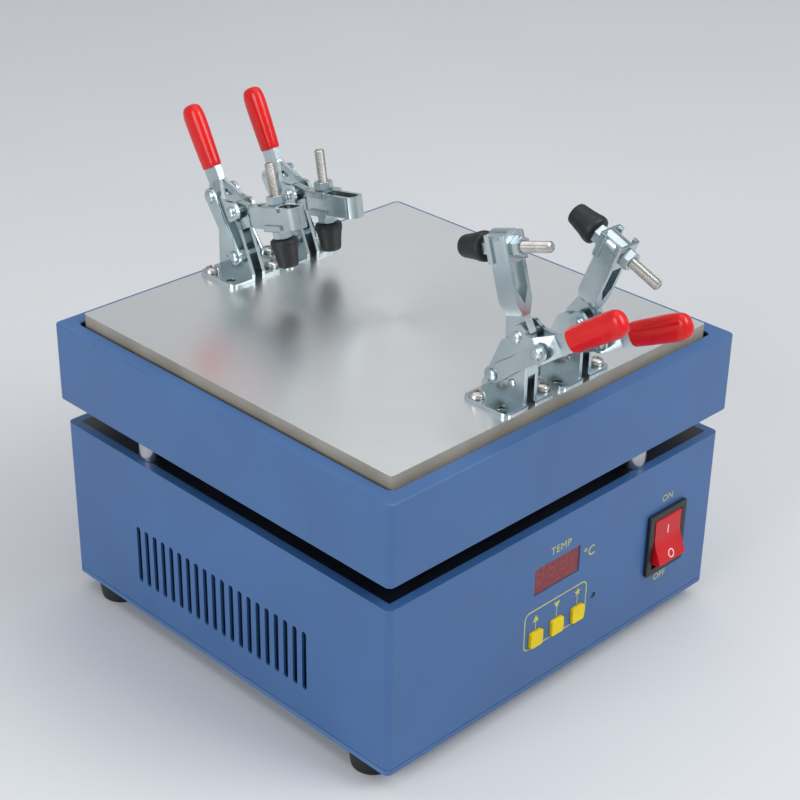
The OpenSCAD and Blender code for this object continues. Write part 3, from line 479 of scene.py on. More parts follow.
def makeThreadTree():
    # a grid whose rows follow the helix, wrapped round Z; its first and last rows close the ends
    rowsPerTurn = 4.0
    insideEnds = 0.4999
    tree, keys, entry = startTree("spindleThread", [
        ("Radius", "NodeSocketFloat"), ("Depth", "NodeSocketFloat"), ("Length", "NodeSocketFloat"),
        ("Chamfer", "NodeSocketFloat"), ("Turns", "NodeSocketInt"), ("Around", "NodeSocketInt"),
        ("Finish", "NodeSocketMaterial")])

    def sums(kind, *values):
        return mathNode(tree, kind, *values)

    pitch = sums("DIVIDE", entry["Length"], entry["Turns"])
    rows = sums("MULTIPLY", sums("ADD", entry["Turns"], 1.0), rowsPerTurn)
    grid = addNode(tree, "GeometryNodeMeshGrid", {
        "Size X": 1.0, "Size Y": 1.0, "Vertices X": sums("ADD", entry["Around"], 1.0),
        "Vertices Y": sums("ADD", rows, 1.0)})
    spot = addNode(tree, "GeometryNodeInputPosition").outputs[0]
    parts = addNode(tree, "ShaderNodeSeparateXYZ", {"Vector": spot}).outputs
    across = sums("ADD", parts["X"], 0.5)
    along = sums("ADD", parts["Y"], 0.5)
    climb = sums("MULTIPLY", sums("ADD", sums("SUBTRACT", along, 1.0), across), pitch)
    height = sums("MULTIPLY_ADD", along, entry["Length"], climb)
    level = sums("MINIMUM", sums("MAXIMUM", height, 0.0), entry["Length"])
    wave = sums("COSINE", sums("MULTIPLY", sums("MULTIPLY", along, rows), 2 * math.pi / rowsPerTurn))
    dip = sums("MULTIPLY", sums("MULTIPLY", sums("SUBTRACT", 1.0, wave), 0.5), entry["Depth"])
    nearEnd = sums("MINIMUM", level, sums("SUBTRACT", entry["Length"], level))
    cap = sums("ADD", sums("SUBTRACT", entry["Radius"], entry["Chamfer"]), nearEnd)
    radius = sums("MINIMUM", sums("SUBTRACT", entry["Radius"], dip), cap)
    inside = sums("LESS_THAN", sums("ABSOLUTE", parts["Y"]), insideEnds)
    radius = sums("MULTIPLY", radius, inside)
    angle = sums("MULTIPLY", across, 2 * math.pi)
    place = addNode(tree, "ShaderNodeCombineXYZ", {
        "X": sums("MULTIPLY", radius, sums("COSINE", angle)),
        "Y": sums("MULTIPLY", radius, sums("SINE", angle)), "Z": level}).outputs[0]
    moved = addNode(tree, "GeometryNodeSetPosition", {"Geometry": grid.outputs["Mesh"], "Position": place})
    merged = addNode(tree, "GeometryNodeMergeByDistance", {
        "Geometry": moved.outputs["Geometry"], "Distance": weld})
    endTree(tree, entry, merged.outputs["Geometry"])
    return tree, keys


placeTree = makePlaceTree()
threadTree = makeThreadTree()


def growPiece(name, treeAndKeys, values, points=()):
    # runs a tree on a carrier of points (place, turn) and keeps the plain mesh
    tree, keys = treeAndKeys
    mesh = bpy.data.meshes.new(name)
    mesh.from_pydata([spot for spot, turn in points], [], [])
    turns = mesh.attributes.new("turn", "FLOAT_VECTOR", "POINT")
    for i, (spot, turn) in enumerate(points):
        turns.data[i].vector = turn
    piece = linkPiece(name, mesh)
    grow = piece.modifiers.new("grow", "NODES")
    grow.node_group = tree
    for label, value in values.items():
        grow[keys[label]] = value
    return settle(piece)


def copiesAt(name, shape, material, points, size=1.0):
    piece = growPiece(name, placeTree, {"Shape": shape, "Size": size, "Finish": finish[material]}, points)
    shadeByAngle(piece.data, 36)
    return piece


def discard(*pieces):
    for piece in pieces:
        bpy.data.objects.remove(piece)


# camera, as fitted to the photograph

camera = {
    "place": (-0.5255, -0.5283, 0.3573), "lens": 81.69, "sensor": 36.0,
    "yaw": 44.917, "pitch": 28.182, "roll": 0.948,
}


def makeCamera():
    yaw, pitch, roll = (math.radians(camera[key]) for key in ("yaw", "pitch", "roll"))
    ahead = Vector((math.cos(pitch) * math.cos(yaw), math.cos(pitch) * math.sin(yaw), -math.sin(pitch)))
    right = Vector((math.sin(yaw), -math.cos(yaw), 0))
    up = right.cross(ahead)
    right, up = (right * math.cos(roll) + up * math.sin(roll),
                 up * math.cos(roll) - right * math.sin(roll))
    lens = bpy.data.cameras.new("photoCamera")
    lens.lens = camera["lens"]
    lens.sensor_width = camera["sensor"]
    lens.clip_start = 0.01
    holder = linkPiece("photoCamera", lens)
    turn = Matrix((right, up, -ahead)).transposed().to_4x4()
    holder.matrix_world = Matrix.Translation(camera["place"]) @ turn
    bpy.context.scene.camera = holder


makeCamera()


# case, tray and plate

# widths of the rounded edges in mm; faces within topBand of the plate's top are the turned ones
edges = {
    "pan": 0.5, "fold": 0.9, "foldAngle": 50, "plate": 0.5, "foot": 0.6, "standoff": 0.4, "topBand": 0.2,
    "button": 0.7, "housing": 0.5, "rocker": 0.45, "filter": 0.25, "inlet": 0.5, "drawer": 0.3,
}

# the case's cover takes the coat with painted shade under the tray
dressNode("case_cover", "casePaintedShade", edges["fold"], 3, edges["foldAngle"])
dressNode("base_pan", "paint", edges["pan"])
dressNode("tray", "paint", edges["fold"], 3, edges["foldAngle"])
dressNode("feet", "rubber", edges["foot"])
dressNode("standoffs", "standoff", edges["standoff"])

# the plate's sides take the painted-reflection finish, the turned top its own
hotPlate = dressNode("hot_plate", "plateSide", edges["plate"])
hotPlate.data.materials.append(finish["plateTop"])
for face in hotPlate.data.polygons:
    if face.normal.z > 0.9 and face.center.z > -edges["topBand"] * mm:
        face.material_index = 1

for node, material in {
    "case_screws": "steel", "standoff_bolts": "steel", "tray_floor": "paint", "plate_posts": "ceramic",
    "insulation": "wool", "heating_rods": "steel", "thermocouple": "steel", "display_module": "black",
    "control_board": "board", "tact_switches": "black", "status_led": "led", "transformer": "core",
}.items():
    nodes[node].data.materials.clear()
    nodes[node].data.materials.append(finish[material])
print("case, tray and plate dressed")


# front panel

panel = {
    "face": -108.0, "ink": 0.02, "inkSunk": 0.05, "switch": (72.2, -98.8), "display": (-4.6, -82.8),
    "buttons": ((-17.4, -112.3), (-3.4, -112.3), (10.6, -112.3)),
    "words": (("TEMP", -2.9, -71.3, 4.0), ("°C", 17.0, -82.6, 5.2),
              ("ON", 72.6, -77.0, 3.6), ("OFF", 71.6, -119.6, 3.6)),
    "frame": (-24.6, 16.6, -116.9, -97.3), "frameRadius": 3.0, "frameLine": 0.6,
    # the font's size for a letter's height, and how widely its letters are set
    "fontSize": 1.35, "letterSpacing": 1.08,
}
# the buttons' icons, in mm above each button's middle
icons = {
    "arrowHalf": 2.0, "arrowTall": 3.4, "raiseFoot": 8.8, "lowerTip": 9.2, "starFoot": 9.4,
    "starMiddle": 11.2, "starOut": 2.3, "starIn": 0.95, "leadFoot": 4.6, "leadLine": 0.45,
}

for node in ("up_button", "down_button", "set_button"):
    dressNode(node, "yellow", edges["button"], 3)
dressNode("switch_housing", "black", edges["housing"])
rocker = dressNode("rocker", "rocker", edges["rocker"], 3)
dressNode("display_window", "lens", edges["filter"])


def inkSlab(name, outline):
    # a flat printed shape on the panel, a hair thick
    return prism(name, outline, panel["face"] - panel["ink"], panel["face"] + panel["inkSunk"], "ink")


def inkBand(name, line, width, closed=True):
    # a printed line of even width along a path
    count = len(line)
    low, high = panel["face"] - panel["ink"], panel["face"] + panel["inkSunk"]
    shape = bmesh.new()
    rings = []
    for i, (x, z) in enumerate(line):
        before = Vector(line[(i - 1) % count]) if closed or i else Vector(line[i])
        after = Vector(line[(i + 1) % count]) if closed or i < count - 1 else Vector(line[i])
        way = (after - before).normalized()
        side = Vector((-way.y, way.x)) * width / 2
        sides = ((x + side.x, z + side.y), (x - side.x, z - side.y))
        rings.append([shape.verts.new((px * mm, y * mm, pz * mm)) for px, pz in sides for y in (low, high)])
    for i in range(count if closed else count - 1):
        a, b = rings[i], rings[(i + 1) % count]
        for one, two in ((0, 1), (1, 3), (3, 2), (2, 0)):
            shape.faces.new((a[one], a[two], b[two], b[one]))
    if not closed:
        for end in (rings[0], rings[-1]):
            shape.faces.new((end[0], end[1], end[3], end[2]))
    bmesh.ops.recalc_face_normals(shape, faces=shape.faces)
    return linkPiece(name, meshFrom(shape, name, "ink"))


def inkWord(word, x, z, height):
    curve = bpy.data.curves.new("word", "FONT")
    curve.body = word
    curve.size = height * mm * panel["fontSize"]
    curve.align_x = "CENTER"
    curve.align_y = "CENTER"
    curve.extrude = panel["ink"] * mm
    curve.space_character = panel["letterSpacing"]
    curve.resolution_u = 4
    text = linkPiece("word", curve)
    mesh = bpy.data.meshes.new_from_object(text.evaluated_get(bpy.context.evaluated_depsgraph_get()))
    bpy.data.objects.remove(text)
    stand = Matrix.Rotation(math.pi / 2, 4, "X")
    mesh.transform(Matrix.Translation((x * mm, panel["face"] * mm, z * mm)) @ stand)
    mesh.materials.clear()
    mesh.materials.append(finish["ink"])
    return linkPiece("word", mesh)


def roundedBox(x0, x1, z0, z1, radius, steps=6):
    # x0, x1, z0 and z1 are the box's sides; points run anticlockwise from its upper right corner
    points = []
    for cx, cz, start in ((x1 - radius, z1 - radius, 0), (x0 + radius, z1 - radius, 90),
                          (x0 + radius, z0 + radius, 180), (x1 - radius, z0 + radius, 270)):
        for i in range(steps + 1):
            a = math.radians(start + 90 * i / steps)
            points.append((cx + radius * math.cos(a), cz + radius * math.sin(a)))
    return points


def printPanel():
    half, tall = icons["arrowHalf"], icons["arrowTall"]
    prints = [inkWord(*word) for word in panel["words"]]
    prints.append(inkBand("outline", roundedBox(*panel["frame"], panel["frameRadius"]), panel["frameLine"]))
    (x0, z0), (x1, z1), (x2, z2) = panel["buttons"]
    foot = z0 + icons["raiseFoot"]
    prints.append(inkSlab("raise", [(x0 - half, foot), (x0 + half, foot), (x0, foot + tall)]))
    tip = z1 + icons["lowerTip"]
    prints.append(inkSlab("lower", [(x1 - half, tip + tall), (x1, tip), (x1 + half, tip + tall)]))
    star = []
    for i in range(10):
        r = icons["starIn"] if i % 2 else icons["starOut"]
        a = math.radians(90 + 36 * i)
        star.append((x2 + r * math.cos(a), z2 + icons["starMiddle"] + r * math.sin(a)))
    prints.append(inkSlab("star", star))
    for (x, z), top in zip(panel["buttons"], ("raiseFoot", "lowerTip", "starFoot")):
        lead = [(x, z + icons["leadFoot"]), (x, z + icons[top])]
        prints.append(inkBand("lead", lead, icons["leadLine"], closed=False))
    return mount(joinPieces("panelPrints", prints), "case", "yellow_plastic")


printPanel()


# unlit digits behind the filter

digits = {"height": 7.6, "width": 4.2, "bar": 0.75, "barInset": 0.8, "slant": 5.0, "pitch": 8.0,
          "depth": 0.04, "sunk": 0.02}


def makeDigits():
    h, w, bar = digits["height"] / 2, digits["width"], digits["bar"] / 2
    reach = w / 2 - bar * digits["barInset"]
    outline = [(-reach, 0), (-reach + bar, bar), (reach - bar, bar),
               (reach, 0), (reach - bar, -bar), (-reach + bar, -bar)]
    segment = prism("segment", outline, -digits["depth"], digits["sunk"], "digit")
    lean = math.tan(math.radians(digits["slant"]))
    points = []
    cx, cz = panel["display"]
    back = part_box("display_module")[0].y
    for d in (-1, 0, 1):
        for dx, dz, upright in ((0, h, 0), (0, 0, 0), (0, -h, 0), (-w / 2, h / 2, 1), (w / 2, h / 2, 1),
                                (-w / 2, -h / 2, 1), (w / 2, -h / 2, 1)):
            spot = ((cx + d * digits["pitch"] + dx + dz * lean) * mm, back, (cz + dz) * mm)
            points.append((spot, (0, math.radians(90 + digits["slant"]) if upright else 0, 0)))
    piece = copiesAt("displaySegments", segment, "digit", points)
    discard(segment)
    return mount(piece, "case", "red_lens")


makeDigits()


# marks on the rocker's curved face, in mm from its middle

rockerMark = {"barHalf": 0.36, "barFoot": 3.4, "barTall": 4.4, "barSteps": 8, "ringDown": 6.4,
              "ringIn": 1.5, "ringOut": 2.05, "ringSteps": 24, "lift": 0.03, "rayFrom": -200.0}


def rockerMarks():
    look = rockerMark
    face = BVHTree.FromObject(rocker, bpy.context.evaluated_depsgraph_get())
    cx, cz = panel["switch"]
    shape = bmesh.new()

    def bar(x):
        steps = look["barSteps"]
        return [(x, look["barFoot"] + look["barTall"] * i / steps) for i in range(steps + 1)]

    def hoop(radius):
        turns = [2 * math.pi * i / look["ringSteps"] for i in range(look["ringSteps"])]
        return [(radius * math.cos(a), radius * math.sin(a) - look["ringDown"]) for a in turns]

    def onFace(x, z):
        # one point just above the rocker's face and one just under it
        start = Vector(((cx + x) * mm, look["rayFrom"] * mm, (cz + z) * mm))
        spot, out = face.ray_cast(start, Vector((0, 1, 0)))[:2]
        return [shape.verts.new(spot + out * way * look["lift"] * mm) for way in (1, -1)]

    for one, two, closed in (
            (bar(-look["barHalf"]), bar(look["barHalf"]), False),
            (hoop(look["ringIn"]), hoop(look["ringOut"]), True)):
        near, far = [onFace(*spot) for spot in one], [onFace(*spot) for spot in two]
        count = len(one)
        for i in range(count if closed else count - 1):
            j = (i + 1) % count
            a, b, c, d = near[i], near[j], far[j], far[i]
            shape.faces.new((a[0], b[0], c[0], d[0]))
            shape.faces.new((d[1], c[1], b[1], a[1]))
            shape.faces.new((b[0], a[0], a[1], b[1]))
            shape.faces.new((d[0], c[0], c[1], d[1]))
        if not closed:
            for k in (0, -1):
                shape.faces.new((near[k][0], far[k][0], far[k][1], near[k][1]))
    bmesh.ops.recalc_face_normals(shape, faces=shape.faces)
    mesh = meshFrom(shape, "rockerMarks", "whiteInk")
    return mount(linkPiece("rockerMarks", mesh), "rocker", "rocker_red")


rockerMarks()

# where the inlet's three pins are, in mm: their middle, how far they reach, and their depth
inletPins = {"x": -70.0, "z": -98.8, "across": 8.2, "up": 5.4, "from": 94.1, "to": 105.8}

inlet = dressNode("power_inlet", "black", edges["inlet"])
inlet.data.materials.append(finish["brass"])
for face in inlet.data.polygons:
    spot = face.center / mm
    aside, above = abs(spot.x - inletPins["x"]), abs(spot.z - inletPins["z"])
    within = inletPins["from"] < spot.y < inletPins["to"]
    if within and aside < inletPins["across"] and above < inletPins["up"]:
        face.material_index = 1
dressNode("fuse_drawer", "black", edges["drawer"])
print("front panel and inlet dressed")


# toggle clamps: sizes in mm, angles in degrees as in the CAD

clampShape = {
    "x": 17.5, "y": 86.5, "barPivot": (-3.3, 25.4), "handlePivot": (5.2, 5.8), "linkPivot": (3.8, 11.3),
    "linkEye": (-9.0, 9.8), "linkLength": 30.2, "spot": (-4.5, 9.4), "barRise": 3.2, "barHeight": 10.0,
    "slotStart": 24.0, "slotLength": 20.7, "sheet": 1.8, "flange": 1.1, "nutHeight": 4.0,
    "threadOut": 15.0, "armOut": 4.8, "tipBore": 9.0, "tipGap": 0.2, "holeX": 12.5, "holeY": 7.0,
    "shankX": -9.5, "gripStart": 23.0, "gripLength": 31.0,
    "edges": {"base": 0.3, "bar": 0.35, "handle": 0.35, "link": 0.3},
}
# side is -1 on the left, end is -1 at the front, and along says how far out in its slot the spindle is
clamps = {
    "rearLeft": {"stem": "rear_left", "side": -1, "end": 1, "raised": 15, "lean": 29.5, "along": 0.454},
    "rearRight": {"stem": "rear_right", "side": 1, "end": 1, "raised": 10, "lean": 26.5, "along": 0.072},
    "frontLeft": {"stem": "front_left", "side": -1, "end": -1, "raised": 73, "lean": 55, "along": 0.861},
    "frontRight": {"stem": "front_right", "side": 1, "end": -1, "raised": 112, "lean": 63, "along": 0.945},
}


def slide(x, y, z):
    return Matrix.Translation((x * mm, y * mm, z * mm))


def tilt(degrees, axis="X"):
    return Matrix.Rotation(math.radians(degrees), 4, axis)


def clampFrames(clamp):
    # where the base, bar, handle, spindle and the link's upper eye stand, each in its own frame
    shape = clampShape
    turned = tilt(180 if clamp["end"] > 0 else 0, "Z")
    base = slide(clamp["side"] * shape["x"], clamp["end"] * shape["y"], 0) @ turned
    bar = base @ slide(0, *shape["barPivot"]) @ tilt(clamp["raised"])
    handleSpot = bar @ slide(0, *shape["handlePivot"])
    handle = Matrix.Translation(handleSpot.translation) @ base.to_3x3().to_4x4() @ tilt(clamp["lean"])
    station = shape["slotStart"] + shape["slotLength"] * clamp["along"]
    spindle = bar @ slide(0, station, shape["barRise"])
    eye = base.inverted() @ (handle @ Vector((0, shape["linkEye"][0] * mm, shape["linkEye"][1] * mm)))
    low = Vector((0, shape["linkPivot"][0] * mm, shape["linkPivot"][1] * mm))
    link = base @ Matrix.Translation(low + (eye - low).normalized() * shape["linkLength"] * mm)
    return {"base": base, "bar": bar, "handle": handle, "spindle": spindle, "linkTop": link}


def ring(steps, z, radiusAt):
    # one ring of points at height z; radiusAt gives the radius at an angle
    points = []
    for i in range(steps):
        angle = 2 * math.pi * i / steps
        r = radiusAt(angle)
        points.append((r * math.cos(angle) * mm, r * math.sin(angle) * mm, z * mm))
    return points


gripLook = {
    # square is 1 for a true oval and lower for a squarer one
    "thick": 8.4, "wide": 12.0, "square": 0.86, "steps": 40,
    # share of the length, and share of the full girth there
    "profile": ((0.0, 0.8), (0.006, 0.86), (0.02, 0.9), (0.08, 0.915), (0.3, 0.95), (0.55, 0.985),
                (0.72, 1.0), (0.82, 0.985), (0.89, 0.93), (0.94, 0.83), (0.972, 0.68), (0.99, 0.47),
                (1.0, 0.2)),
}


def makeGrip(name, frames, body):
    # dipped vinyl sleeve: flat oval, fullest near its end, closing in a rounded cone
    look = gripLook
    steps = look["steps"]
    rings = []
    for share, girth in look["profile"]:
        z = clampShape["gripStart"] + share * clampShape["gripLength"]
        row = []
        for i in range(steps):
            angle = 2 * math.pi * i / steps
            cos, sin = math.cos(angle), math.sin(angle)
            x = look["thick"] / 2 * girth * math.copysign(abs(cos) ** look["square"], cos)
            y = look["wide"] / 2 * girth * math.copysign(abs(sin) ** look["square"], sin)
            row.append((x * mm, (clampShape["shankX"] + y) * mm, z * mm))
        rings.append(row)
    grip = skinRings(name, rings, "grip", matrix=frames["handle"], angle=80)
    smooth = grip.modifiers.new("smooth", "SUBSURF")
    smooth.levels = smooth.render_levels = 1
    settle(grip)
    grip.data.shade_smooth()
    return mount(grip, body, "grip_red")


tipLook = {
    "steps": 40,
    # distance below the nut and radius, in mm
    "profile": ((0.0, 2.6), (0.0, 5.6), (0.35, 6.15), (1.0, 6.45), (2.0, 6.5), (3.2, 6.36), (4.6, 6.0),
                (7.0, 5.55), (10.5, 5.1), (12.4, 4.85), (13.1, 4.55), (13.45, 4.0), (13.5, 3.2),
                (13.5, 1.2)),
}


def makeTip(name, frames, body):
    # rubber foot: a wide collar under the nut, then a taper to a flat end
    stack = clampShape["barHeight"] / 2 + clampShape["flange"] + clampShape["nutHeight"]
    top = -(stack + clampShape["tipGap"])
    rings = [ring(tipLook["steps"], top - down, lambda angle, r=r: r) for down, r in tipLook["profile"]]
    return mount(skinRings(name, rings, "rubber", matrix=frames["spindle"], angle=50), body, "rubber")


spindleLook = {"radius": 2.4, "depth": 0.3, "chamfer": 0.5, "pitch": 0.8, "around": 28}


def makeSpindle(name, frames, body):
    look = spindleLook
    stack = clampShape["barHeight"] / 2 + clampShape["flange"] + clampShape["nutHeight"]
    low = -stack - clampShape["tipGap"] - clampShape["tipBore"]
    length = stack + clampShape["threadOut"] - low
    values = {
        "Radius": look["radius"] * mm, "Depth": look["depth"] * mm, "Length": length * mm,
        "Chamfer": look["chamfer"] * mm, "Turns": round(length / look["pitch"]), "Around": look["around"],
        "Finish": finish["steel"],
    }
    spindle = growPiece(name, threadTree, values)
    spindle.data.transform(frames["spindle"] @ slide(0, 0, low))
    shadeByAngle(spindle.data, 60)
    return mount(spindle, body, "steel")


nutLook = {
    # across the corners and bore as radii; the corners' bevel is a share, the rest is in mm
    "corner": 4.6, "bore": 2.42, "bevel": 0.55, "rim": 0.12, "faceShare": 0.97, "mouth": 0.25,
    "flare": 0.35, "steps": 48,
    # the square washer, and the lips that it bends over the bar
    "side": 12.0, "lip": 2.0, "bend": 0.8, "bendSteps": 6, "lipGap": 0.05, "inRound": 0.2, "edge": 0.25,
}


def nutRings(low, high):
    look = nutLook
    steps, bore = look["steps"], look["bore"]
    flat = look["corner"] * math.cos(math.radians(30))

    def hexagon(angle):
        return flat / math.cos((angle + math.pi / 6) % (math.pi / 3) - math.pi / 6)

    def edge(z, way):
        points = []
        for i in range(steps):
            angle = 2 * math.pi * i / steps
            r = hexagon(angle)
            drop = (r - flat) * look["bevel"] + look["rim"]
            points.append((r * math.cos(angle) * mm, r * math.sin(angle) * mm, (z + way * drop) * mm))
        return points

    def half(z, way):
        # from the bore's mouth out to the corners
        return [ring(steps, z + way * look["mouth"], lambda a: bore),
                ring(steps, z, lambda a: bore + look["flare"]),
                ring(steps, z, lambda a: flat * look["faceShare"]), edge(z, way)]

    return half(low, 1) + list(reversed(half(high, -1)))


def washerShape(name, z, way):
    # a square washer with two lips bent over the bar
    look = nutLook
    inside = clampShape["armOut"] + look["lipGap"]
    thick, lip, bend, soft = clampShape["flange"], look["lip"], look["bend"], look["inRound"]
    outside = inside + thick
    line = [(-outside, -lip)]
    for i in range(look["bendSteps"] + 1):
        a = math.radians(180 - 90 * i / look["bendSteps"])
        line.append((-outside + bend + bend * math.cos(a), thick - bend + bend * math.sin(a)))
    line += [(-x, y) for x, y in reversed(line)]
    inner = [(inside, -lip), (inside, -soft), (inside - soft, 0)]
    outline = line + inner + [(-x, y) for x, y in reversed(inner)]
    half = look["side"] / 2
    washer = prism(name, [(x, z + way * y) for x, y in outline], -half, half, "zinc")
    return roundEdges(washer, look["edge"], 2)


def makeNuts(name, frames, body):
    half = clampShape["barHeight"] / 2
    low = half + clampShape["flange"]
    high = low + clampShape["nutHeight"]
    parts = [
        skinRings("nut", nutRings(low, high), "zinc", loop=True, angle=28),
        skinRings("nut", nutRings(-high, -low), "zinc", loop=True, angle=28),
        washerShape("washer", half, 1), washerShape("washer", -half, -1),
    ]
    nuts = joinPieces(name, parts)
    nuts.data.transform(frames["spindle"])
    return mount(nuts, body, "zinc")


screwLook = {
    # cross is how far the recess reaches, slot half its width; at its foot it narrows to the taper
    "height": 2.7, "cross": 1.5, "slot": 0.62, "depth": 1.5, "taper": 0.45, "above": 0.4, "steps": 36,
    # height and radius of the head's outline, in mm
    "profile": ((0.0, 3.15), (0.12, 3.4475), (0.35, 3.5), (1.026, 3.4825), (1.674, 3.255), (2.16, 2.8),
                (2.511, 2.03), (2.7, 0.98)),
    # the screws' turns in radians: from clamp to clamp, and from one screw to the other
    "clampTurn": 0.7, "screwTurn": 1.9,
}


def screwHead():
    # pan head with a cross recess, cut once and copied to every place
    look = screwLook
    rings = [ring(look["steps"], z, lambda a, r=r: r) for z, r in look["profile"]]
    head = skinRings("screwHead", rings, "steel")
    for turn in (0, 90):
        shape = bmesh.new()
        bmesh.ops.create_cube(shape, size=1.0)
        for vert in shape.verts:
            upper = vert.co.z > 0
            reach = 2 * look["cross"] * (1.0 if upper else look["taper"])
            level = look["height"] + (look["above"] if upper else -look["depth"])
            vert.co = Vector((vert.co.x * reach, vert.co.y * 2 * look["slot"], level)) * mm
        mesh = meshFrom(shape, "cutter")
        mesh.transform(tilt(turn, "Z"))
        cutter = linkPiece("cutter", mesh)
        cut = head.modifiers.new("cross", "BOOLEAN")
        cut.operation = "DIFFERENCE"
        cut.solver = "EXACT"
        cut.object = cutter
        settle(head)
        discard(cutter)
    return head


def placeScrews():
    head = screwHead()
    points = []
    for index, clamp in enumerate(clamps.values()):
        base = clampFrames(clamp)["base"]
        for order, (sx, sy) in enumerate(((-1, 1), (1, -1))):
            hole = Vector((sx * clampShape["holeX"], sy * clampShape["holeY"], clampShape["sheet"])) * mm
            turn = screwLook["clampTurn"] * index + screwLook["screwTurn"] * order
            points.append((base @ hole, (0, 0, turn)))
    screws = copiesAt("clampScrewHeads", head, "steel", points)
    discard(head)
    return mount(screws, "case", "steel", "clamp_screws")


# radius of each dome, its height, and how far out its foot sits; all in mm
rivetLook = {
    "linkFoot": {"radius": 2.75, "rise": 0.75, "x": 8.55},
    "spot": {"radius": 1.85, "rise": 0.5, "x": 4.35},
    "barEye": {"radius": 2.45, "rise": 0.7, "x": 6.8},
    "linkTop": {"radius": 2.75, "rise": 0.7, "x": 8.5},
}
# the dome's outline as shares of its height and radius, from a foot that is sunk in the sheet
domeLook = {"sunk": 0.1, "foot": 0.99, "steps": 28,
            "profile": ((0.2, 1.0), (0.5, 0.9), (0.82, 0.64), (1.0, 0.26))}


def makeRivets(name, kind, spots, body):
    # domed rivet ends, one a side, as one piece a body
    look = rivetLook[kind]
    r, rise, steps = look["radius"], look["rise"], domeLook["steps"]
    rows = [(-domeLook["sunk"], r * domeLook["foot"])]
    rows += [(rise * up, r * out) for up, out in domeLook["profile"]]
    dome = skinRings("dome", [ring(steps, z, lambda a, q=q: q) for z, q in rows], "zinc")
    points = []
    for spot in spots:
        for side in (-1, 1):
            points.append((spot + Vector((side * look["x"] * mm, 0, 0)), (0, side * math.pi / 2, 0)))
    rivets = copiesAt(name, dome, "zinc", points)
    discard(dome)
    return mount(rivets, body, "zinc")


def placeRivets():
    spots = {"linkFoot": [], "spot": []}
    for name, clamp in clamps.items():
        frames = clampFrames(clamp)
        for kind, key in (("linkFoot", "linkPivot"), ("spot", "spot")):
            spots[kind].append(frames["base"] @ Vector((0, *(v * mm for v in clampShape[key]))))
        lever, tie = clamp["stem"] + "_lever", clamp["stem"] + "_tie"
        makeRivets(name + "BarEyeRivets", "barEye", [frames["handle"].translation], lever)
        makeRivets(name + "LinkTopRivets", "linkTop", [frames["linkTop"].translation], tie)
    for kind, places in spots.items():
        makeRivets("clamp" + kind[0].upper() + kind[1:] + "Rivets", kind, places, "case")


def makeClamp(name, clamp):
    frames = clampFrames(clamp)
    stem = clamp["stem"]
    arm, lever = stem + "_arm", stem + "_lever"
    for part, edge in clampShape["edges"].items():
        dressNode(stem + "_" + part, "zinc", edge)
    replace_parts(makeGrip(name + "Grip", frames, lever), stem + "_grip")
    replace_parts(makeTip(name + "Tip", frames, arm), stem + "_tip")
    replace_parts(makeSpindle(name + "Spindle", frames, arm), stem + "_spindle")
    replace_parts(makeNuts(name + "Nuts", frames, arm), stem + "_nuts")


for name, clamp in clamps.items():
    makeClamp(name, clamp)
placeScrews()
placeRivets()
print("clamps made:", len(clamps))


# studio

# in metres, watts and degrees
studio = {
    "floor": tone(217, 219, 221), "floorShade": tone(204, 208, 214), "floorCloud": 3.0, "floorRough": 0.9,
    "seen": tone(203, 207, 213), "seenPower": 0.92, "sky": tone(226, 229, 233), "skyPower": 0.42,
    # the floor's half width, how far behind the part it starts to curve up, the curve, and the top
    "reach": 3.0, "flatTo": 1.2, "curve": 0.8, "top": 3.0, "turn": -45.0,
    "aim": (0.0, 0.0, -0.05),
    "lights": (
        # name, place, size, power
        ("keyLight", (0.55, -1.25, 1.15), 0.9, 16.0),
        ("topLight", (0.1, 0.0, 1.9), 2.4, 17.0),
        ("leftLight", (-1.5, -0.1, 0.55), 0.9, 11.0),
        ("streakLight", (0.5, 0.5, 1.2), 0.03, 0.05),
    ),
}


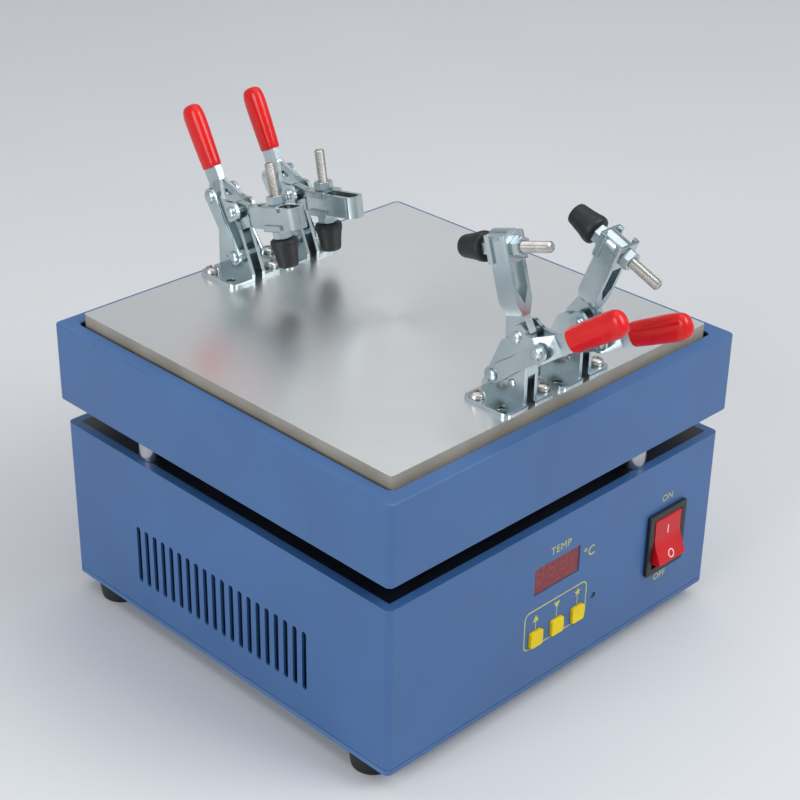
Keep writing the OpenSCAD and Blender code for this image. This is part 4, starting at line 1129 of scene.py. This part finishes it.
def makeFloor():
    # a pale sweep: flat under the part, curving up behind it
    ground, reach, curve = cadBounds[0][2], studio["reach"], studio["curve"]
    start = studio["flatTo"]
    line = [(-reach, 0.0), (start, 0.0)]
    for angle in range(10, 91, 10):
        a = math.radians(angle)
        line.append((start + curve * math.sin(a), curve - curve * math.cos(a)))
    line.append((start + curve, studio["top"]))
    turn = tilt(studio["turn"], "Z")
    shape = bmesh.new()
    rows = []
    for along, up in line:
        ends = (Vector((side * reach, along, ground + up)) for side in (-1, 1))
        rows.append([shape.verts.new(turn @ end) for end in ends])
    for a, b in zip(rows, rows[1:]):
        shape.faces.new((a[0], a[1], b[1], b[0]))
    mesh = meshFrom(shape, "paleFloor")
    mesh.shade_smooth()
    material, tree, shader, coords = startMaterial("paleSweep", Roughness=studio["floorRough"])
    cloud = spread(tree, noiseAt(tree, coords, studio["floorCloud"], 2.0), 0.0, 0.3)
    shade = blendColour(tree, cloud, studio["floor"], studio["floorShade"])
    tree.links.new(shade, shader.inputs["Base Color"])
    mesh.materials.append(material)
    linkPiece("paleFloor", mesh)


def makeLights():
    for name, place, size, power in studio["lights"]:
        lamp = bpy.data.lights.new(name, "AREA")
        lamp.size = size
        lamp.energy = power
        holder = linkPiece(name, lamp)
        holder.location = place
        aim = Vector(studio["aim"]) - Vector(place)
        holder.rotation_euler = aim.to_track_quat("-Z", "Y").to_euler()
    world = bpy.data.worlds.new("paleRoom")
    bpy.context.scene.world = world
    world.use_nodes = True
    tree = world.node_tree
    tree.nodes.clear()
    ray = addNode(tree, "ShaderNodeLightPath").outputs
    seen = mathNode(tree, "MAXIMUM", ray["Is Camera Ray"], ray["Is Glossy Ray"])
    seen = mathNode(tree, "MAXIMUM", seen, ray["Is Transmission Ray"])
    sky = addNode(tree, "ShaderNodeBackground", {"Color": studio["sky"], "Strength": studio["skyPower"]})
    back = addNode(tree, "ShaderNodeBackground", {"Color": studio["seen"], "Strength": studio["seenPower"]})
    mix = addNode(tree, "ShaderNodeMixShader", {0: seen, 1: sky.outputs[0], 2: back.outputs[0]})
    addNode(tree, "ShaderNodeOutputWorld", {"Surface": mix.outputs[0]})


makeFloor()
makeLights()
bpy.context.scene.view_settings.view_transform = "Standard"
